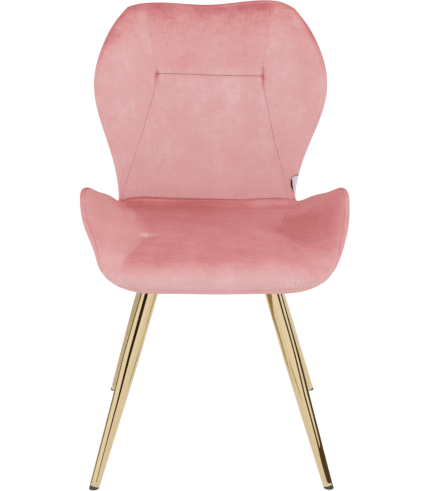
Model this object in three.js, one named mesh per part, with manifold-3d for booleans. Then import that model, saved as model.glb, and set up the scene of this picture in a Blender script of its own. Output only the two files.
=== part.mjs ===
// Upholstered shell chair with a winged back, low swept arms and four tapered, splayed legs.
// Millimetres, +Z up, +X to the sitter's left (the viewer's right), the chair faces -Y.
// The origin is on the floor, under the middle of the chair's bounding box.
//
// The upholstered body is a doubly curved shell. Its front face and its rear face are each
// given as a table of stations, running from the front lip of the seat, over the seat, up the back
// to the top edge. Every station has five points from the centre line out to the rim.
// All layers of the body lie between those two faces: the velvet on the rear, the moulded
// structural shell, the foam pads and the sewn velvet panels on the front.

import * as THREE from "three";
import { mergeVertices } from "three/addons/utils/BufferGeometryUtils.js";
import Module from "manifold-3d";

const wasm = await Module();
wasm.setup();

// ---------------------------------------------------------------- driving dimensions
const Y_CENTRE = 17.8; // shift that puts the origin under the middle of the box

const GAP = 0.3; // clearance between pieces that touch
const REAR_COVER = 2.5; // velvet with its backing, on the rear
const CORE = 8.0; // moulded structural shell
const CORE_SEAT_EXTRA = 13.0; // added thickness where the seat board is let in
const FRONT_COVER = 2.0; // velvet panels on the front

const BOARD = { x0: -150.5, x1: 145.5, y0: -174, y1: 137, z0: 384.1, z1: 396.1, corner: 28 };
const DUST = { x0: -160, x1: 156, y0: -183, y1: 149, z0: 382.4, z1: 383.6, corner: 26 };

const PLATE = { half: 31, z0: 378.0, z1: 382.0, corner: 8, hole: 3.5, bolt: 21 };
const BOLT = { shank: 3.0, head: 6.0, head_h: 3.4, top: 394.5 };
const TNUT = { bore: 3.4, barrel: 4.3, flange: 9.5, flange_h: 1.4, length: 9.5 };
const BOARD_HOLE = 4.8;
const BOARD_SINK = { r: 10.0, depth: 2.0 };

// straight tube from the plate down to the knee, tapered from there to the foot
const LEG = { r_top: 16.1, r_foot: 9.5, knee: 262, wall: 1.6, sides: 24 };
const LEG_TOP_Z = 377.7;
// where the axis of each leg meets the floor and the underside of its mounting plate, and the plate's centre
const LEGS = {
  front_left: { foot: [-231, -232.5], top: [-120, -136], plate: [-118, -137] },
  front_right: { foot: [219.5, -232.5], top: [108, -136], plate: [108, -137] },
  rear_left: { foot: [-225, 264.5], top: [-119.5, 105], plate: [-118, 105] },
  rear_right: { foot: [227.5, 264.5], top: [104, 105], plate: [105, 105] },
};
const GLIDE = { lip: 0.6, plug_r: 7.6, plug: 14.0 };

// ---------------------------------------------------------------- stations of the two faces
// [centre, quarter, seam, outer, rim], each [x, y, z], from the front lip to the top edge
const FRONT = [
  [[0, -238, 392], [92, -236, 392.5], [164, -229, 396], [186.5, -219, 401.5], [202, -205, 407.5]],
  [[0, -262, 419], [92, -260, 420], [176, -244, 424], [200, -231, 426], [216.5, -211, 432]],
  [[0, -260, 446], [92, -257, 447], [172, -232, 446], [204, -216, 446], [223, -197, 452]],
  [[0, -220, 466], [86, -216, 466.5], [157, -188, 462], [206, -177, 463], [232, -163, 477]],
  [[0, -110, 473], [72, -108, 473], [128, -104, 469], [200, -110, 475], [247, -112, 512]],
  [[0, -20, 468], [72, -20, 468], [136, -22, 469], [204, -42, 486], [249, -62, 550]],
  [[0, 62, 463], [76, 60, 464], [148, 50, 468], [196, 26, 483], [227, 4, 530]],
  [[0, 125, 463], [82, 121, 464], [162, 98, 472], [187, 81, 480], [204, 68, 507]],
  [[0, 176, 472], [88, 172, 472], [170, 150, 478], [178, 147, 479], [184, 144, 483]],
  [[0, 196, 524], [84, 191, 524], [162, 168, 523], [176, 163, 522], [186.5, 158, 521]],
  [[0, 212, 598], [74, 206, 598], [141, 188, 597], [179, 178, 596], [209, 170, 594]],
  [[0, 226, 670], [62, 221, 670], [122, 206, 670], [183, 192, 670], [235, 178, 668]],
  [[0, 238, 737], [57, 234, 737], [113, 222, 736], [182, 205, 736], [240, 190, 734]],
  [[0, 251, 800], [61, 248, 800], [122, 238, 801], [177, 224, 801], [221, 212, 799]],
  [[0, 262, 850], [65, 260, 851.5], [130, 251, 854], [168, 243, 851.5], [195.5, 236, 845]],
  [[0, 271, 876], [67, 269, 880.5], [131, 262, 883], [155, 258, 879.5], [175, 253, 871.5]],
];
const REAR = [
  [[0, -222, 386.5], [88, -220, 387], [156, -213, 390], [179.5, -204, 396], [198, -192, 403]],
  [[0, -196, 385.5], [88, -195, 385.5], [157, -186, 387.5], [194, -186, 403], [218.5, -193, 426.5]],
  [[0, -172, 385], [88, -171, 385], [157, -162, 386.5], [203, -164, 411], [228.5, -181, 444]],
  [[0, -140, 385], [88, -138, 385], [157, -130, 386], [210, -138, 421], [242, -152, 469]],
  [[0, -80, 385], [88, -79, 385], [157, -78, 386], [220, -92, 440], [257, -107, 506]],
  [[0, -15, 385], [88, -15, 385], [157, -16, 386], [223, -34, 450], [259, -58, 544]],
  [[0, 62, 385], [88, 61, 385], [157, 56, 387], [213, 36, 446], [240, 8, 523]],
  [[0, 150, 386], [88, 149, 386], [157, 141, 388], [197, 104, 438], [217, 76, 497]],
  [[0, 214, 416], [88, 207, 419], [164, 180, 438], [182, 170, 452], [191, 157, 472]],
  [[0, 240, 505], [84, 235, 505], [163, 208, 507], [181, 197, 509], [193.5, 180, 514]],
  [[0, 258, 596], [74, 252, 596], [143, 230, 596], [183, 215, 596], [215, 193, 594]],
  [[0, 273, 670], [64, 268, 670], [124, 250, 670], [186, 232, 670], [240, 201, 669]],
  [[0, 286, 738], [59, 281, 738], [116, 267, 738], [186, 247, 738], [246, 213, 736]],
  [[0, 296, 801], [62, 292, 801], [124, 280, 802], [179, 263, 802], [227, 235, 801]],
  [[0, 298, 852], [65, 295, 853.5], [131, 285, 856], [169, 275, 852.5], [200.5, 259, 847]],
  [[0, 289, 876], [67, 287, 880.5], [132, 281, 883], [157, 277, 879.5], [178, 272, 872.5]],
];
// the sewn body leans a few millimetres sideways along its length: shift of each station in x
const SWAY = [4.5, 4.5, 6, 5.5, 2, 0, -1, -5, -12, -12, -9, -6, -5, -5, -5, -4];
// one hump of the top edge stands a little higher than the other: lift of each station in z
const LIFT = [0, 0, 0, 0, 0, 0, 0, 0, 0, 0, 0, 0, 0, 0.4, 1.7, 2.7];
const N_ST = FRONT.length;
const CREASE = 8; // station of the fold between seat and back
const BACK_SEAM = 12; // station of the cross seam of the back

// ---------------------------------------------------------------- splines
// natural cubic spline through ys at knots xs
function spline(xs, ys) {
  const n = xs.length;
  const m = new Array(n).fill(0);
  const a = new Array(n).fill(0);
  const c = new Array(n).fill(0);
  for (let i = 1; i < n - 1; i++) {
    const h0 = xs[i] - xs[i - 1];
    const h1 = xs[i + 1] - xs[i];
    const d = 6 * ((ys[i + 1] - ys[i]) / h1 - (ys[i] - ys[i - 1]) / h0);
    const b = 2 * (h0 + h1) - h0 * a[i - 1];
    a[i] = h1 / b;
    c[i] = (d - h0 * c[i - 1]) / b;
  }
  for (let i = n - 2; i > 0; i--) m[i] = c[i] - a[i] * m[i + 1];
  return (x) => {
    let i = 0;
    while (i < n - 2 && x > xs[i + 1]) i++;
    const h = xs[i + 1] - xs[i];
    const p = (xs[i + 1] - x) / h;
    const q = (x - xs[i]) / h;
    return (
      p * ys[i] +
      q * ys[i + 1] +
      ((p * p * p - p) * m[i] + (q * q * q - q) * m[i + 1]) * (h * h) / 6
    );
  };
}

// knots along the shell: mean of the chord lengths at the centre line and at the rim of the front face
const KNOTS = [0];
for (let i = 1; i < N_ST; i++) {
  const d = (j) =>
    Math.hypot(...FRONT[i][j].map((v, k) => v - FRONT[i - 1][j][k]));
  KNOTS.push(KNOTS[i - 1] + (d(0) + d(2) + d(4)) / 3);
}
const knotAt = (s) => {
  const i = Math.min(Math.floor(s), N_ST - 2);
  return KNOTS[i] + (s - i) * (KNOTS[i + 1] - KNOTS[i]);
};

// point of a face at u (-1 left rim, 0 centre line, 1 right rim) and station s
function face(table) {
  // one spline along the shell for each column and coordinate
  const along = [0, 1, 2, 3, 4].map((j) =>
    [0, 1, 2].map((k) => spline(KNOTS, table.map((row) => row[j][k]))),
  );
  const sway = spline(KNOTS, SWAY);
  const lift = spline(KNOTS, LIFT);
  return (u, s) => {
    const t = knotAt(s);
    const half = along.map((c) => c.map((f) => f(t)));
    // across the shell the knots are spaced by chord length, so close points don't overshoot
    const knots = [0];
    for (let j = 1; j < 5; j++)
      knots.push(knots[j - 1] + Math.hypot(...half[j].map((v, k) => v - half[j - 1][k])));
    const all = [...knots.slice(1).map((x) => -x).reverse(), ...knots];
    const w = Math.abs(u) * 4;
    const j = Math.min(Math.floor(w), 3);
    const x = Math.sign(u) * (knots[j] + (w - j) * (knots[j + 1] - knots[j]));
    return [0, 1, 2].map((k) => {
      const ys = all.map((_, i) => {
        const p = half[Math.abs(i - 4)][k];
        return k === 0 && i < 4 ? -p : p;
      });
      return spline(all, ys)(x) + (k === 0 ? sway(t) : k === 2 ? lift(t) * Math.sin((Math.PI * u) / 0.9) : 0);
    });
  };
}
const frontFace = face(FRONT);
const rearFace = face(REAR);

const smooth = (a, b, x) => {
  const t = Math.min(1, Math.max(0, (x - a) / (b - a)));
  return t * t * (3 - 2 * t);
};

// point between the faces: mm from the rear face (rear = true) or from the front face
const cache = new Map();
function faces(u, s) {
  const key = u.toFixed(5) + "," + s.toFixed(5);
  if (!cache.has(key)) {
    const a = new THREE.Vector3(...frontFace(u, s));
    const b = new THREE.Vector3(...rearFace(u, s));
    cache.set(key, { a, b, t: a.distanceTo(b) });
  }
  return cache.get(key);
}
// clearance between layers, a little more near the rim and the front lip, where they lie slanted
const gap = (u, s) =>
  0.4 +
  1.7 * Math.max(smooth(0.55, 0.95, Math.abs(u)), 1 - smooth(0.3, 1.8, s)) +
  0.5 * smooth(4.5, 6, s) * (1 - smooth(8.2, 9, s));
// pads and shell draw in a little more at the two front corners
const drawIn = (f) => (u, s) => {
  const k = (1 - smooth(0.8, 2.4, s)) * smooth(0.8, 1 - RIM_U, Math.abs(u));
  return f(u * (1 - 0.03 * k), s);
};
// how far up from the rear face the structural shell reaches
function coreTop(u, s) {
  const seat = smooth(0.2, 1.6, s) * (1 - smooth(6.0, 8.0, s)) * (1 - smooth(0.48, 0.86, Math.abs(u)));
  return REAR_COVER + gap(u, s) + CORE + CORE_SEAT_EXTRA * seat;
}
// the layers are squeezed together where the body is thin
const squeeze = (t) => Math.min(1, t / 21);
const fromRear = (mm) => (u, s) => {
  const f = faces(u, s);
  const d = typeof mm === "function" ? mm(u, s) : mm;
  return f.b.clone().lerp(f.a, (d * squeeze(f.t)) / f.t);
};
const fromFront = (mm) => (u, s) => {
  const f = faces(u, s);
  const d = typeof mm === "function" ? mm(u, s) : mm;
  return f.a.clone().lerp(f.b, (d * squeeze(f.t)) / f.t);
};

// ---------------------------------------------------------------- lofted solids
// pads and shell stop short of the rim; the rear cover turns up round them, a little further out
const RIM_U = 0.036;
const RIM_S0 = 0.16;
const RIM_S1 = 0.2;
const CUT_U = 0.017;
const CUT_S0 = 0.1;
const CUT_S1 = 0.15;
// a panel stops this far from its seam
const SEAM_U = 0.0035;
const SEAM_S = 0.008;
const FOLD_S = 0.022; // at the fold between seat and back

// every layer is meshed on the same columns and rows, so that the layers stay parallel
const COLS = [0, 0.17, 0.34, 0.5, 0.66, 0.83, 1 - RIM_U, 1 - CUT_U, 1];
const ROWS = [CUT_S0, RIM_S0, CREASE - FOLD_S, CREASE + FOLD_S];
ROWS.push(N_ST - 1 - RIM_S1, N_ST - 1 - CUT_S1, N_ST - 1);
for (let s = 0; s < N_ST - 1; s += 0.5) ROWS.push(s);
ROWS.sort((a, b) => a - b);

function within(list, lo, hi) {
  const eps = 1e-6;
  const inner = list.filter((x) => x > lo + eps && x < hi - eps);
  return [lo, ...inner, hi];
}
// the seat board is let in under the shell, in this range of columns and rows
const OPEN = { u: 0.5, s0: 1.5, s1: 7 };
const inOpening = (u, s) => Math.abs(u) < OPEN.u && s > OPEN.s0 && s < OPEN.s1;

// closed solid made of the filled cells between several surfaces, lowest first
function cells(us, ss, levels, filled) {
  const nu = us.length;
  const ns = ss.length;
  const nk = levels.length;
  const pos = [];
  for (const f of levels)
    for (const s of ss) for (const u of us) pos.push(...f(u, s).toArray());
  const id = (k, j, i) => (k * ns + j) * nu + i;
  const full = (k, j, i) =>
    k >= 0 && j >= 0 && i >= 0 && k < nk - 1 && j < ns - 1 && i < nu - 1 &&
    filled(k, (us[i] + us[i + 1]) / 2, (ss[j] + ss[j + 1]) / 2);
  const tri = [];
  // quad a-b-c-d, seen from outside counter-clockwise unless turned, split along a-c or b-d
  const quad = (a, b, c, d, turned, split) => {
    const two = split ? [[a, b, d], [b, c, d]] : [[a, b, c], [a, c, d]];
    for (const t of two) tri.push(...(turned ? [t[0], t[2], t[1]] : t));
  };
  for (let k = 0; k < nk - 1; k++)
    for (let j = 0; j < ns - 1; j++)
      for (let i = 0; i < nu - 1; i++) {
        if (!full(k, j, i)) continue;
        const left = us[i] + us[i + 1] < 0;
        for (const up of [0, 1])
          if (!full(k + (up ? 1 : -1), j, i))
            quad(
              id(k + up, j, i), id(k + up, j, i + 1),
              id(k + up, j + 1, i + 1), id(k + up, j + 1, i), !up, left,
            );
        for (const far of [0, 1])
          if (!full(k, j + (far ? 1 : -1), i))
            quad(
              id(k, j + far, i), id(k, j + far, i + 1),
              id(k + 1, j + far, i + 1), id(k + 1, j + far, i), !!far, false,
            );
        for (const right of [0, 1])
          if (!full(k, j, i + (right ? 1 : -1)))
            quad(
              id(k, j, i + right), id(k, j + 1, i + right),
              id(k + 1, j + 1, i + right), id(k + 1, j, i + right), !right, false,
            );
      }
  const g = new THREE.BufferGeometry();
  g.setAttribute("position", new THREE.Float32BufferAttribute(pos, 3));
  g.setIndex(tri);
  return fromManifold(toManifold(g));
}
// closed solid over a patch of the shell, between two surfaces
const slab = (us, ss, low, high) => cells(us, ss, [low, high], () => true);

// ---------------------------------------------------------------- booleans
function toManifold(geometry, matrix) {
  let g = geometry.index ? geometry.toNonIndexed() : geometry.clone();
  g = new THREE.BufferGeometry().setAttribute("position", g.getAttribute("position"));
  if (matrix) g.applyMatrix4(matrix);
  const m = mergeVertices(g, 1e-3);
  return new wasm.Manifold(
    new wasm.Mesh({
      numProp: 3,
      vertProperties: m.attributes.position.array,
      triVerts: new Uint32Array(m.index.array),
    }),
  );
}
function fromManifold(solid) {
  const m = solid.getMesh();
  const v = new Float32Array(m.numVert * 3);
  for (let i = 0; i < m.numVert; i++)
    v.set(m.vertProperties.subarray(i * m.numProp, i * m.numProp + 3), i * 3);
  const g = new THREE.BufferGeometry();
  g.setAttribute("position", new THREE.BufferAttribute(v, 3));
  g.setIndex(new THREE.BufferAttribute(new Uint32Array(m.triVerts), 1));
  return g;
}
const boxBetween = (x0, x1, y0, y1, z0, z1) =>
  new THREE.BoxGeometry(x1 - x0, y1 - y0, z1 - z0).translate(
    (x0 + x1) / 2,
    (y0 + y1) / 2,
    (z0 + z1) / 2,
  );
function roundedRect(x0, x1, y0, y1, r) {
  const s = new THREE.Shape();
  s.moveTo(x0 + r, y0);
  s.lineTo(x1 - r, y0);
  s.absarc(x1 - r, y0 + r, r, -Math.PI / 2, 0, false);
  s.lineTo(x1, y1 - r);
  s.absarc(x1 - r, y1 - r, r, 0, Math.PI / 2, false);
  s.lineTo(x0 + r, y1);
  s.absarc(x0 + r, y1 - r, r, Math.PI / 2, Math.PI, false);
  s.lineTo(x0, y0 + r);
  s.absarc(x0 + r, y0 + r, r, Math.PI, 1.5 * Math.PI, false);
  return s;
}
const plate = (shape, z0, z1, segments = 4) =>
  new THREE.ExtrudeGeometry(shape, {
    depth: z1 - z0,
    bevelEnabled: false,
    curveSegments: segments,
  }).translate(0, 0, z0);
const cylinder = (r, z0, z1, sides = 16) =>
  new THREE.CylinderGeometry(r, r, z1 - z0, sides)
    .rotateX(Math.PI / 2)
    .translate(0, 0, (z0 + z1) / 2);

// ---------------------------------------------------------------- materials
const mat = (color, roughness, metalness) =>
  new THREE.MeshStandardMaterial({ color, roughness, metalness });
const VELVET = mat(0xcf8c8c, 0.85, 0.0);
const VELVET_REAR = mat(0xc98585, 0.85, 0.0);
const FOAM = mat(0xe9e2c8, 0.95, 0.0);
const MOULDED = mat(0x2c2b2a, 0.6, 0.0);
const PLYWOOD = mat(0xc79d68, 0.7, 0.0);
const DUST_CLOTH = mat(0x17171a, 0.95, 0.0);
const GOLD = mat(0xdcb877, 0.16, 1.0);
const STEEL_PLATE = mat(0x202022, 0.5, 0.6);
const ZINC = mat(0xb9bcc0, 0.35, 1.0);
const GLIDE_BLACK = mat(0x1b1b1d, 0.7, 0.0);
const TAB = mat(0xf0e9e4, 0.9, 0.0);

const chair = new THREE.Group();
const frame = new THREE.Group();
frame.position.y = -Y_CENTRE;
chair.add(frame);
function add(name, geometry, material) {
  const mesh = new THREE.Mesh(geometry, material);
  mesh.name = name;
  frame.add(mesh);
  return mesh;
}

// ---------------------------------------------------------------- front panels: foam and velvet
const MIRROR = { left: -1, right: 1 }; // as seen from the front

const panels = {
  seat: { u: [-0.5 + SEAM_U, 0.5 - SEAM_U], s: [RIM_S0, CREASE - FOLD_S] },
  back_lower: { u: [-0.5 + SEAM_U, 0.5 - SEAM_U], s: [CREASE + FOLD_S, BACK_SEAM - SEAM_S] },
  back_upper: { u: [-0.5 + SEAM_U, 0.5 - SEAM_U], s: [BACK_SEAM + SEAM_S, N_ST - 1 - RIM_S1] },
};
for (const [side, m] of Object.entries(MIRROR)) {
  const outer = [0.5 + SEAM_U, 1 - RIM_U];
  const u = m > 0 ? outer : outer.map((x) => -x).reverse();
  panels["arm_" + side] = { u, s: [RIM_S0, CREASE - FOLD_S] };
  panels["wing_" + side] = { u, s: [CREASE + FOLD_S, N_ST - 1 - RIM_S1] };
}
const allCols = [...COLS.slice(1).map((x) => -x).reverse(), ...COLS];
for (const [name, p] of Object.entries(panels)) {
  const us = within(allCols, ...p.u);
  const ss = within(ROWS, ...p.s);
  add(
    "foam_" + name,
    slab(
      us,
      ss,
      drawIn(fromRear((u, s) => coreTop(u, s) + gap(u, s))),
      drawIn(fromFront((u, s) => FRONT_COVER + gap(u, s))),
    ),
    FOAM,
  );
  add(
    "velvet_" + name,
    slab(us, ss, drawIn(fromFront(FRONT_COVER)), drawIn(fromFront(0))),
    VELVET,
  );
}

// ---------------------------------------------------------------- structural shell and seat board
const innerCols = within(allCols, -1 + RIM_U, 1 - RIM_U);
const innerRows = within(ROWS, RIM_S0, N_ST - 1 - RIM_S1);
{
  const low = fromRear((u, s) => REAR_COVER + gap(u, s));
  const high = fromRear(coreTop);
  // level of the recess for the board, halfway between the two faces elsewhere
  const recess = (u, s) => {
    const a = low(u, s);
    const b = high(u, s);
    const over = Math.abs(u) <= OPEN.u && s >= OPEN.s0 && s <= OPEN.s1;
    const t = over ? (BOARD.z1 + 0.5 - a.z) / (b.z - a.z) : 0.5;
    return a.lerp(b, Math.min(0.9, Math.max(0.1, t)));
  };
  add(
    "structural_shell",
    cells(
      innerCols,
      innerRows,
      [low, recess, high].map(drawIn),
      (k, u, s) => k === 1 || !inOpening(u, s),
    ),
    MOULDED,
  );
}

// where the bolts of each leg's plate sit
const boltSpots = {};
for (const [name, leg] of Object.entries(LEGS)) {
  const [x, y] = leg.plate;
  const sx = Math.sign(x);
  const sy = Math.sign(y);
  // two bolts on the inner side of the leg and one behind it, clear of the tube
  boltSpots[name] = [
    [x - sx * PLATE.bolt, y - sy * PLATE.bolt],
    [x + sx * PLATE.bolt, y - sy * PLATE.bolt],
    [x - sx * PLATE.bolt, y + sy * PLATE.bolt],
  ];
}
const everyBolt = Object.values(boltSpots).flat();

{
  let board = toManifold(
    plate(roundedRect(BOARD.x0, BOARD.x1, BOARD.y0, BOARD.y1, BOARD.corner), BOARD.z0, BOARD.z1),
  );
  let dust = toManifold(
    plate(roundedRect(DUST.x0, DUST.x1, DUST.y0, DUST.y1, DUST.corner), DUST.z0, DUST.z1),
  );
  for (const [x, y] of everyBolt) {
    const at = new THREE.Matrix4().makeTranslation(x, y, 0);
    board = board.subtract(toManifold(cylinder(BOARD_HOLE, 370, 410, 8), at));
    board = board.subtract(
      toManifold(cylinder(BOARD_SINK.r, BOARD.z1 - BOARD_SINK.depth, 410, 10), at),
    );
    dust = dust.subtract(toManifold(cylinder(3.8, 370, 410, 8), at));
  }
  add("seat_board", fromManifold(board), PLYWOOD);
  add("dust_cover", fromManifold(dust), DUST_CLOTH);
}

// ---------------------------------------------------------------- rear cover, in two sewn pieces
// a tray: the skin on the rear face, turned round the rim up to the front face
const tray = (s0, s1) =>
  cells(
    allCols,
    within(ROWS, s0, s1),
    [fromRear(0), fromRear(REAR_COVER), fromFront(0)],
    (k, u, s) =>
      k === 0
        ? !inOpening(u, s)
        : Math.abs(u) > 1 - CUT_U || s < CUT_S0 || s > N_ST - 1 - CUT_S1,
  );
add("rear_cover_seat", tray(0, CREASE - FOLD_S), VELVET_REAR);
add("rear_cover_back", tray(CREASE + FOLD_S, N_ST - 1), VELVET_REAR);

// blank fabric tab sewn into the side seam of the back, lying on the front of the wing beside the rim
{
  const rim = faces(1, CREASE + 0.82).a;
  const up = faces(1, CREASE + 1.1).a.clone().sub(faces(1, CREASE + 0.5).a).normalize();
  const across = rim.clone().sub(faces(0.8, CREASE + 0.82).a);
  across.addScaledVector(up, -across.dot(up)).normalize();
  const front = across.clone().cross(up);
  const g = boxBetween(-10.5, 0.5, -0.8, 0.8, -16.8, 16.8);
  g.applyMatrix4(new THREE.Matrix4().makeBasis(across, front.clone().negate(), up));
  g.translate(rim.x + front.x * 1.5, rim.y + front.y * 1.5, rim.z + front.z * 1.5);
  add("side_tab", g, TAB);
}

// ---------------------------------------------------------------- legs, glides, plates, bolts
function legAxis(leg) {
  const foot = new THREE.Vector3(leg.foot[0], leg.foot[1], 0);
  const top = new THREE.Vector3(leg.top[0], leg.top[1], LEG_TOP_Z);
  const dir = top.clone().sub(foot);
  const length = dir.length();
  dir.normalize();
  const q = new THREE.Quaternion().setFromUnitVectors(new THREE.Vector3(0, 0, 1), dir);
  return { foot, dir, length, matrix: new THREE.Matrix4().compose(foot, q, new THREE.Vector3(1, 1, 1)) };
}
// profile points (radius, height) turned about +Z
const lathe = (points, sides) =>
  new THREE.LatheGeometry(points.map((p) => new THREE.Vector2(p[0], p[1])), sides).rotateX(Math.PI / 2);

for (const [name, leg] of Object.entries(LEGS)) {
  const { dir, length, matrix } = legAxis(leg);
  const tilt = Math.acos(dir.z);
  // the tube ends square to its axis, with its lowest point just above the floor
  const end = (GLIDE.lip + LEG.r_foot * Math.sin(tilt)) / Math.cos(tilt);
  const over = length + 25;
  const tube = lathe(
    [
      [LEG.r_top - LEG.wall, over],
      [LEG.r_top - LEG.wall, LEG.knee],
      [LEG.r_foot - LEG.wall, end],
      [LEG.r_foot, end],
      [LEG.r_top, LEG.knee],
      [LEG.r_top, over],
      [LEG.r_top - LEG.wall, over],
    ],
    LEG.sides,
  );
  const above = toManifold(boxBetween(-400, 400, -400, 400, PLATE.z0 - GAP, 600));
  let t = toManifold(tube, matrix);
  if (t.volume() < 0) throw new Error("leg profile is inside out");
  t = t.subtract(above);
  add("leg_" + name, fromManifold(t), GOLD);

  const foot = lathe(
    [
      [0, -12],
      [LEG.r_foot, -12],
      [LEG.r_foot, end - GAP],
      [GLIDE.plug_r, end - GAP],
      [GLIDE.plug_r, end + GLIDE.plug],
      [0, end + GLIDE.plug],
    ],
    20,
  );
  const below = toManifold(boxBetween(-400, 400, -400, 400, -100, 0));
  let g = toManifold(foot, matrix);
  if (g.volume() < 0) throw new Error("glide profile is inside out");
  g = g.subtract(below);
  add("glide_" + name, fromManifold(g), GLIDE_BLACK);

  const [x, y] = leg.plate;
  let p = toManifold(
    plate(
      roundedRect(x - PLATE.half, x + PLATE.half, y - PLATE.half, y + PLATE.half, PLATE.corner),
      PLATE.z0,
      PLATE.z1,
    ),
  );
  for (const [bx, by] of boltSpots[name])
    p = p.subtract(
      toManifold(cylinder(PLATE.hole, 370, 410, 8), new THREE.Matrix4().makeTranslation(bx, by, 0)),
    );
  add("leg_plate_" + name, fromManifold(p), STEEL_PLATE);

  boltSpots[name].forEach(([bx, by], i) => {
    const z = PLATE.z0 - GAP;
    const bolt = lathe(
      [
        [0, z - BOLT.head_h],
        [BOLT.head * 0.72, z - BOLT.head_h],
        [BOLT.head, z - BOLT.head_h * 0.35],
        [BOLT.head, z],
        [BOLT.shank, z],
        [BOLT.shank, BOLT.top - 1.2],
        [BOLT.shank - 0.8, BOLT.top],
        [0, BOLT.top],
      ],
      8,
    ).translate(bx, by, 0);
    add("bolt_" + name + "_" + (i + 1), bolt, ZINC);

    const top = BOARD.z1 - BOARD_SINK.depth + GAP + TNUT.flange_h;
    const nut = lathe(
      [
        [TNUT.bore, top - TNUT.flange_h - TNUT.length],
        [TNUT.barrel, top - TNUT.flange_h - TNUT.length],
        [TNUT.barrel, top - TNUT.flange_h],
        [TNUT.flange, top - TNUT.flange_h],
        [TNUT.flange, top],
        [TNUT.bore, top],
        [TNUT.bore, top - TNUT.flange_h - TNUT.length],
      ],
      8,
    ).translate(bx, by, 0);
    add("t_nut_" + name + "_" + (i + 1), nut, ZINC);
  });
}

export default chair;
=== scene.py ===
import math

import bpy
import numpy as np
from mathutils import Matrix, Vector

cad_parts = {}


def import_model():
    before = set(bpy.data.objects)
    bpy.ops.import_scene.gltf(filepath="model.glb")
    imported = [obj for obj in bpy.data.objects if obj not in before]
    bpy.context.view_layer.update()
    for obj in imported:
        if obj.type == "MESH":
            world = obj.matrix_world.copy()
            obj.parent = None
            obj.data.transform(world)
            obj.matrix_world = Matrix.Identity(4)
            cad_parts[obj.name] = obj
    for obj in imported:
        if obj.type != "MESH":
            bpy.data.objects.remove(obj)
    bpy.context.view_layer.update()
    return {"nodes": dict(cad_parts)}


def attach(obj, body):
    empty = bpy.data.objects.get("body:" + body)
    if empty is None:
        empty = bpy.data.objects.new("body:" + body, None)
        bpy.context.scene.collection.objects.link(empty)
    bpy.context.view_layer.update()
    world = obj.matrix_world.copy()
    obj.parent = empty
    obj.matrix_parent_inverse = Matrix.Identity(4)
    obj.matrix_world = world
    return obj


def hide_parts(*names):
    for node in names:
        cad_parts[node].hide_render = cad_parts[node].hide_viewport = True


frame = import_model()
NODES = frame["nodes"]
MM = 0.001
Y_CENTRE = 17.8

# ------------------------------------------------------------------ camera
CAM_POS = Vector((-0.0305, -2.3178, 1.049))
YAW, PITCH, ROLL = math.radians(0.80), math.radians(15.34), math.radians(0.23)
FOCAL_PX, LONG_SIDE = 1183.0, 491.0
fwd = Vector((math.sin(YAW) * math.cos(PITCH), math.cos(YAW) * math.cos(PITCH), -math.sin(PITCH)))
right = Vector((math.cos(YAW), -math.sin(YAW), 0.0))
up = right.cross(fwd)
right, up = (
    math.cos(ROLL) * right + math.sin(ROLL) * up,
    math.cos(ROLL) * up - math.sin(ROLL) * right,
)
cam_data = bpy.data.cameras.new("camera")
cam = bpy.data.objects.new("camera", cam_data)
bpy.context.scene.collection.objects.link(cam)
cam_data.sensor_width = 36.0
cam_data.lens = FOCAL_PX * 36.0 / LONG_SIDE
cam_data.shift_x = 0.4 / LONG_SIDE
cam_data.shift_y = 0.5 / LONG_SIDE
cam_data.clip_start, cam_data.clip_end = 0.05, 200.0
basis = Matrix((right, up, -fwd)).transposed().to_4x4()
cam.matrix_world = Matrix.Translation(CAM_POS) @ basis
bpy.context.scene.camera = cam

# ------------------------------------------------------------------ the two faces of the body
# [centre, quarter, seam, outer, rim] at 16 stations, from the front lip over the seat and up the back
FRONT = np.array([
    [[0, -238, 392], [92, -236, 392.5], [164, -229, 396], [186.5, -219, 401.5], [202, -205, 407.5]],
    [[0, -262, 419], [92, -260, 420], [176, -244, 424], [200, -231, 426], [216.5, -211, 432]],
    [[0, -260, 446], [92, -257, 447], [172, -232, 446], [204, -216, 446], [223, -197, 452]],
    [[0, -220, 466], [86, -216, 466.5], [157, -188, 462], [206, -177, 463], [232, -163, 477]],
    [[0, -110, 473], [72, -108, 473], [128, -104, 469], [200, -110, 475], [247, -112, 512]],
    [[0, -20, 468], [72, -20, 468], [136, -22, 469], [204, -42, 486], [249, -62, 550]],
    [[0, 62, 463], [76, 60, 464], [148, 50, 468], [196, 26, 483], [227, 4, 530]],
    [[0, 125, 463], [82, 121, 464], [162, 98, 472], [187, 81, 480], [204, 68, 507]],
    [[0, 176, 472], [88, 172, 472], [170, 150, 478], [178, 147, 479], [184, 144, 483]],
    [[0, 196, 524], [84, 191, 524], [162, 168, 523], [176, 163, 522], [186.5, 158, 521]],
    [[0, 212, 598], [74, 206, 598], [141, 188, 597], [179, 178, 596], [209, 170, 594]],
    [[0, 226, 670], [62, 221, 670], [122, 206, 670], [183, 192, 670], [235, 178, 668]],
    [[0, 238, 737], [57, 234, 737], [113, 222, 736], [182, 205, 736], [240, 190, 734]],
    [[0, 251, 800], [61, 248, 800], [122, 238, 801], [177, 224, 801], [221, 212, 799]],
    [[0, 262, 850], [65, 260, 851.5], [130, 251, 854], [168, 243, 851.5], [195.5, 236, 845]],
    [[0, 271, 876], [67, 269, 880.5], [131, 262, 883], [155, 258, 879.5], [175, 253, 871.5]],
], float)
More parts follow.
